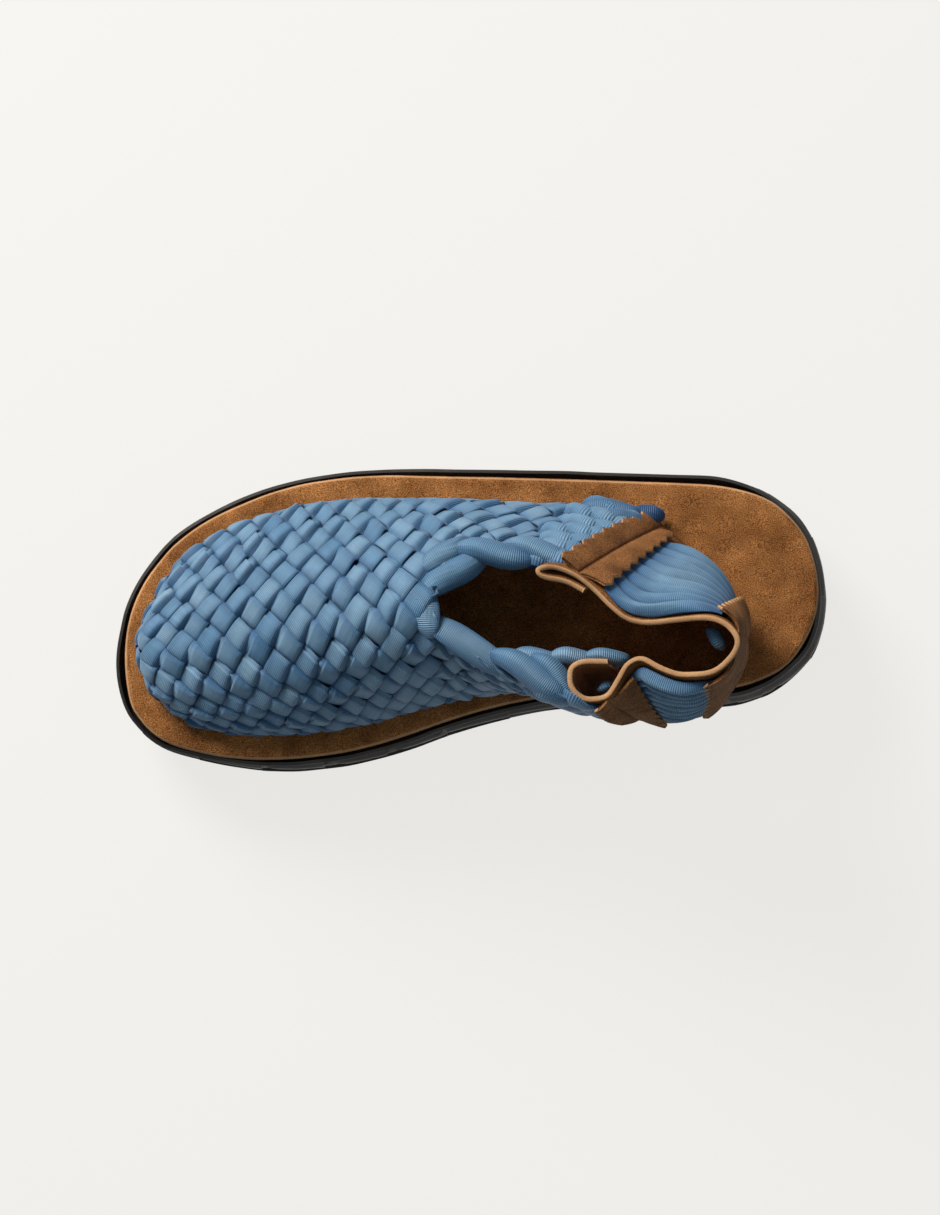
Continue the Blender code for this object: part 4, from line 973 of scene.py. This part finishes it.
def make_footbed(material, edge_material):
    """Suede footbed: side wall, a rounded edge, and a top laid straight across between the
    two edges with a faint unevenness."""
    stations, across = 161, 48
    _, points, _ = outline(FOOTBED, stations)
    normals = inward(points)
    rings = []
    for inset, part, drop in FOOTBED_EDGE:
        plan = points + normals * inset
        share = share_of(plan[:, 0])
        low, high = sole_top(share) + GAP, footbed_top(share)
        rings.append(np.column_stack([plan, low + (high - low) * part + drop]))
    count = len(points)
    all_points = np.concatenate(rings)
    ring = np.arange(count)
    faces = []
    for level in range(len(rings) - 1):
        here = ring + level * count
        after = np.roll(here, -1)
        faces += list(zip(here, after, after + count, here + count))
    edge = rings[-1]
    base = (len(rings) - 1) * count
    t = np.linspace(0, 1, across + 1)[1:-1]
    outer = edge[1:stations - 1]
    inner = edge[:stations - 1:-1]
    middle = outer[:, None] * (1 - t[:, None]) + inner[:, None] * t[:, None]
    uneven = FOOTBED_WAVE * np.sin(260 * middle[..., 0]) * np.sin(310 * middle[..., 1] + 1)
    middle[..., 2] = footbed_top(share_of(middle[..., 0])) + uneven
    start = len(all_points)
    grid = start + np.arange(middle[..., 0].size).reshape(middle.shape[:2])
    left = base + np.arange(1, stations - 1)
    right = base + count - np.arange(1, stations - 1)
    grid = np.concatenate([left[:, None], grid, right[:, None]], 1)
    faces += quads(grid)
    faces.append((base, *grid[0]))
    faces.append((base + stations - 1, *grid[-1][::-1]))
    all_points = np.concatenate([all_points, middle.reshape(-1, 3)])
    faces.append(tuple(ring[::-1]))
    faces = outward_faces(all_points, faces)
    made = piece("footbed_suede", all_points, faces, material, hides=("footbed",))
    number = np.arange(len(faces))
    second_material(made, edge_material, (number >= 2 * count) & (number < 3 * count))


def make_sole(material):
    """Moulded black sole. Rings follow the line of the saw teeth, so that the step below it
    is sharp; above it come the pebbled band, the hollow band and the lip. Slanted slits and
    sweeping grooves are pressed in."""
    stations = 401
    shares, points, side = outline(SOLE, stations)
    step = np.linalg.norm(np.roll(points, -1, 0) - points, axis=1)
    run = np.concatenate([[0], np.cumsum(step)])
    teeth = round(run[-1] / TOOTH_LENGTH)
    columns = ((np.arange(teeth)[:, None] + TOOTH_POINTS) / teeth).ravel() * run[-1]
    closed = np.concatenate([points, points[:1]])
    plan = np.stack([np.interp(columns, run, closed[:, k]) for k in range(2)], 1)
    inner_side = np.interp(columns, run, np.concatenate([side, side[:1]])) > 0.5
    normals = inward(plan)
    share = share_of(plan[:, 0])
    lean = np.where(inner_side, read(LEAN, share, MEDIAL), read(LEAN, share, LATERAL))
    saw = (columns / run[-1] * teeth) % 1
    saw = np.where(saw < TOOTH_RISE, saw / TOOTH_RISE, (1 - saw) / TOOTH_FALL)
    low, high = sole_bottom(share), sole_top(share)
    span = high - low
    line = TOOTH_LINE + saw * TOOTH / span
    rings, pebbled = [], []
    for level, inset in SIDE_BELOW:
        rings.append((line * level, inset + 0 * share))
        pebbled.append(0.4)
    keys, values = zip(*SIDE_INSETS)
    for level in SIDE_LEVELS:
        height = line + (1 - line) * level
        ledge = TOOTH_STEP if level < 0.5 else TOOTH_STEP * 2 * (1 - level)
        inset = smooth(keys, values, level) + ledge * (1 - level)
        rings.append((height, inset + lean * np.clip((height - 0.52) / 0.48, 0, 1)))
        pebbled.append(float(np.clip((0.58 - level) * 20, 0, 1)))
    grid = []
    for height, inset in rings:
        z = low + span * height
        place = plan + normals * (inset + pressed(plan[:, 0], z))[:, None]
        grid.append(np.column_stack([place, z]))
    grid = np.array(grid)
    rows, count = grid.shape[:2]
    all_points = grid.reshape(-1, 3)
    cap = grid[-1].copy()
    cap[:, :2] += inward(cap[:, :2]) * 0.006
    start = len(all_points)
    lip = start - count
    faces = ring_faces(rows, count)
    faces += [(lip + i, lip + (i + 1) % count, start + (i + 1) % count, start + i)
              for i in range(count)]
    all_points = np.concatenate([all_points, cap])
    faces.append(tuple(range(start, start + count)))
    faces.append(tuple(range(count))[::-1])
    faces = outward_faces(all_points, faces)
    mark = np.concatenate([np.repeat(pebbled, count), np.zeros(count)])
    piece("sole_side", all_points, faces, material, values={"pebbled": mark},
          hides=("midsole",))


def pressed(x, z):
    """How deep the slits and the sweeping grooves are pressed at points of the side: a bell
    of the distance to each line."""
    depth = np.zeros_like(x)
    for at, height, long in SLITS:
        ends = np.array([[at - long / 2, height + long / 2], [at + long / 2, height - long / 2]])
        depth += SLIT_DEPTH * np.exp(-(gap_to(x, z, ends) / SLIT_WIDTH) ** 2)
    for line in GROOVES:
        depth += GROOVE_DEPTH * np.exp(-(gap_to(x, z, np.array(line)) / GROOVE_WIDTH) ** 2)
    return depth


def gap_to(x, z, line):
    """Distance from points to a polyline."""
    best = np.full(np.shape(x), 1.0)
    for a, b in zip(line[:-1], line[1:]):
        run = b - a
        t = np.clip(((x - a[0]) * run[0] + (z - a[1]) * run[1]) / (run @ run), 0, 1)
        best = np.minimum(best, np.hypot(x - a[0] - t * run[0], z - a[1] - t * run[1]))
    return best


def make_sling(face_material, edge_material):
    """Suede sling: two faces and a pale cut edge all round, softly waved along the top."""
    stations, rows = 420, 26
    row, rise = np.meshgrid(np.linspace(0, len(SLING) - 1, stations),
                            np.linspace(0, 1, rows), indexing="ij")
    middle, normal = sling_wall(row, rise), sling_normal(row, rise)
    ripple = SLING_WAVE * np.sin(row * 2.1) * np.sin(rise * 7 + row)
    middle = middle + normal * ripple[..., None]
    section = np.array([-1.0, -0.72, 0.0, 0.72, 1.0])
    over = np.array([0.0, 0.75, 1.0, 0.75, 0.0])
    outer = middle + normal * SUEDE / 2
    inner = middle - normal * SUEDE / 2
    top_row, top_rise = row[:, -1:], rise[:, -1:]
    up = unit(sling_wall(top_row, top_rise) - sling_wall(top_row, top_rise - 0.02))
    rim = (middle[:, -1:] + normal[:, -1:] * (section * SUEDE / 2)[None, :, None]
           + up * (over * SLING_RIM)[None, :, None])
    loop = np.concatenate([outer, rim[:, ::-1][:, 1:-1], inner[:, ::-1]], 1)
    count = loop.shape[1]
    points = loop.reshape(-1, 3)
    faces = outward_faces(points, tube_faces(stations, count))
    made = piece("sling_suede_painted_shade", points, faces, face_material, hides=("heel_sling",))
    columns = np.arange(len(faces) - 2) % count
    cut = (columns >= rows - 1) & (columns < rows + 3) | (columns == count - 1)
    second_material(made, edge_material, np.concatenate([cut, [True, True]]))


def make_pleats(name, table, bridge, material, node):
    """Eight plump strips side by side from the tunnel to the heel. Each is a crowned ribbon
    on the sling's outer side that bridges its hollow and overlaps the next one."""
    chance = np.random.default_rng(11)
    tunnel, heel = np.array(table)
    pile = Pile()
    run = np.linspace(-0.05, 1.05, 56)
    bell = np.sin(np.pi * np.clip(run, 0, 1))

    def path(up):
        row_low, row_high, low, high = tunnel[:, None] + (heel - tunnel)[:, None] * run
        row = row_low + (row_high - row_low) * up
        rise = np.minimum(low + (high - low) * up + 0.06 * bell * up ** 2, 0.975)
        normal = sling_normal(row, rise)
        lift = SUEDE / 2 + GAP + 0.0006 + bridge * bell * (1.1 - 0.98 * np.abs(up) ** 1.5)
        return sling_wall(row, rise) + normal * lift[:, None], normal

    for k in range(PLEATS):
        up = (k + 0.5) / PLEATS
        centre, outward = path(up)
        across = path(up + 0.5 / PLEATS)[0] - path(up - 0.5 / PLEATS)[0]
        size = np.linalg.norm(across, axis=1)
        across = across / size[:, None]
        normal = np.cross(across, np.gradient(centre, axis=0))
        normal = unit(normal * np.sign(np.sum(normal * outward, 1, keepdims=True)))
        half = size * (0.50 + (0.10 + 0.04 * chance.standard_normal()) * np.sqrt(bell))
        tilt = (0.05 + (0.17 + 0.08 * chance.standard_normal()) * bell)[:, None]
        sway = 0.0008 * np.sin(5 * run + chance.uniform(0, 6)) * bell
        centre = centre + across * sway[:, None] + normal * half[:, None] * np.sin(tilt) * 0.5
        wide = across * np.cos(tilt) - normal * np.sin(tilt)
        face = normal * np.cos(tilt) + across * np.sin(tilt)
        tone = np.clip(0.55 + 0.2 * chance.standard_normal(), 0, 1)
        # The last value is painted shade: darker towards both ends, where the pleats pass under the
        # suede.
        ribbon(pile, centre, face, wide, half, 0.0010, 0.0005 + 0.0034 * bell ** 0.7, tone,
               np.clip(0.35 + 0.75 * bell, 0, 1))
    pile.make(name, material, (node,))


def finish_cad(frame, tread, window):
    """The tread and the heel window keep their solids and get their finish."""
    for name, material in (("outsole", tread), ("heel_window_front", window),
                           ("heel_window_back", window)):
        for slot in frame["nodes"][name].material_slots:
            slot.material = material


def make_stage():
    """Pale floor, soft light from the upper left of the photograph and the camera, straight
    above the floor beside the shoe and aimed at it."""
    floor_material, _, shader = start_material("floor")
    shader.inputs["Base Color"].default_value = (0.085, 0.083, 0.080, 1)
    shader.inputs["Emission Color"].default_value = (1.0, 0.985, 0.95, 1)
    shader.inputs["Emission Strength"].default_value = FLOOR_GLOW
    shader.inputs["Roughness"].default_value = 0.9
    bpy.ops.mesh.primitive_plane_add(size=FLOOR_SIZE, location=(0, 0, 0))
    floor = bpy.context.object
    floor.name = "floor"
    floor.data.materials.append(floor_material)
    floor.visible_diffuse = False
    right = np.array([np.cos(CAMERA_ROLL), -np.sin(CAMERA_ROLL), 0])
    up = np.array([np.sin(CAMERA_ROLL), np.cos(CAMERA_ROLL), 0])
    place = np.array([*CAMERA_FOOT, CAMERA_HEIGHT])
    back = unit(place - np.array(CAMERA_TARGET))
    side = unit(right - back * (right @ back))
    top = np.cross(back, side)
    camera = bpy.data.objects.new("camera", bpy.data.cameras.new("camera"))
    matrix = np.eye(4)
    matrix[:3, 0], matrix[:3, 1], matrix[:3, 2], matrix[:3, 3] = side, top, back, place
    camera.matrix_world = matrix.T.tolist()
    camera.data.lens = LENS_MM
    camera.data.sensor_fit = "VERTICAL"
    camera.data.sensor_width = camera.data.sensor_height = SENSOR_MM
    bpy.context.scene.collection.objects.link(camera)
    bpy.context.scene.camera = camera
    for name, offset, energy, size in LIGHTS:
        light = bpy.data.objects.new(name, bpy.data.lights.new(name, "AREA"))
        light.data.energy = energy
        light.data.size = size
        light.data.color = LIGHT_COLOUR
        spot = right * offset[0] + up * offset[1] + np.array([0, 0, offset[2]])
        light.location = spot
        light.rotation_euler = Vector(-unit(spot)).to_track_quat("-Z", "Y").to_euler()
        bpy.context.scene.collection.objects.link(light)
    world = bpy.context.scene.world or bpy.data.worlds.new("world")
    bpy.context.scene.world = world
    world.use_nodes = True
    background = world.node_tree.nodes["Background"]
    background.inputs["Color"].default_value = WORLD_COLOUR
    background.inputs["Strength"].default_value = WORLD_LIGHT
    bpy.context.scene.view_settings.view_transform = "Standard"


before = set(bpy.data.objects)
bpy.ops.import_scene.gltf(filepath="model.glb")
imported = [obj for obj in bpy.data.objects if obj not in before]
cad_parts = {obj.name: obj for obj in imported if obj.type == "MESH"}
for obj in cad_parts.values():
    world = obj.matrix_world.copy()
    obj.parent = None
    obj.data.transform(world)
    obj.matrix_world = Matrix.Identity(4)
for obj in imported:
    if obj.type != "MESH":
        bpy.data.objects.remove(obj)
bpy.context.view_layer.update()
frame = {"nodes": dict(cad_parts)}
grain = grain_group()
blue = nylon("blue_nylon", grain, (0.062, 0.165, 0.285), (0.180, 0.300, 0.405))
brown = suede("footbed_suede", grain, (0.200, 0.072, 0.018), (0.440, 0.180, 0.054), 0.60)
# The sling and its covers use the footbed's suede darkened: painted shade on the heel's walls.
suede_with_painted_shade = suede("sling_suede_painted_shade", grain, (0.110, 0.039, 0.010), (0.290, 0.117, 0.036), 0.58)
cut_edge = suede("cut_edge", grain, (0.34, 0.175, 0.080), (0.50, 0.290, 0.145), 0.15, bump=0.3)
black = rubber("moulded_rubber", grain, (0.016, 0.013, 0.012), (0.060, 0.050, 0.042), pebble=True)
tread = rubber("tread_rubber", grain, (0.020, 0.018, 0.016), (0.110, 0.095, 0.080), 0.65, 0.35)
window = plain("pale_window", (0.62, 0.58, 0.50), 0.35)
make_footbed(brown, cut_edge)
make_sole(black)
make_woven_strips(blue)
make_collar(blue)
make_sling(suede_with_painted_shade, cut_edge)
make_covers(suede_with_painted_shade, cut_edge)
make_pleats("pleats_inner", PLEATS_INNER, BRIDGE_INNER, blue, "heel_strips_inner")
make_pleats("pleats_outer", PLEATS_OUTER, BRIDGE_OUTER, blue, "heel_strips_outer")
finish_cad(frame, tread, window)
make_stage()
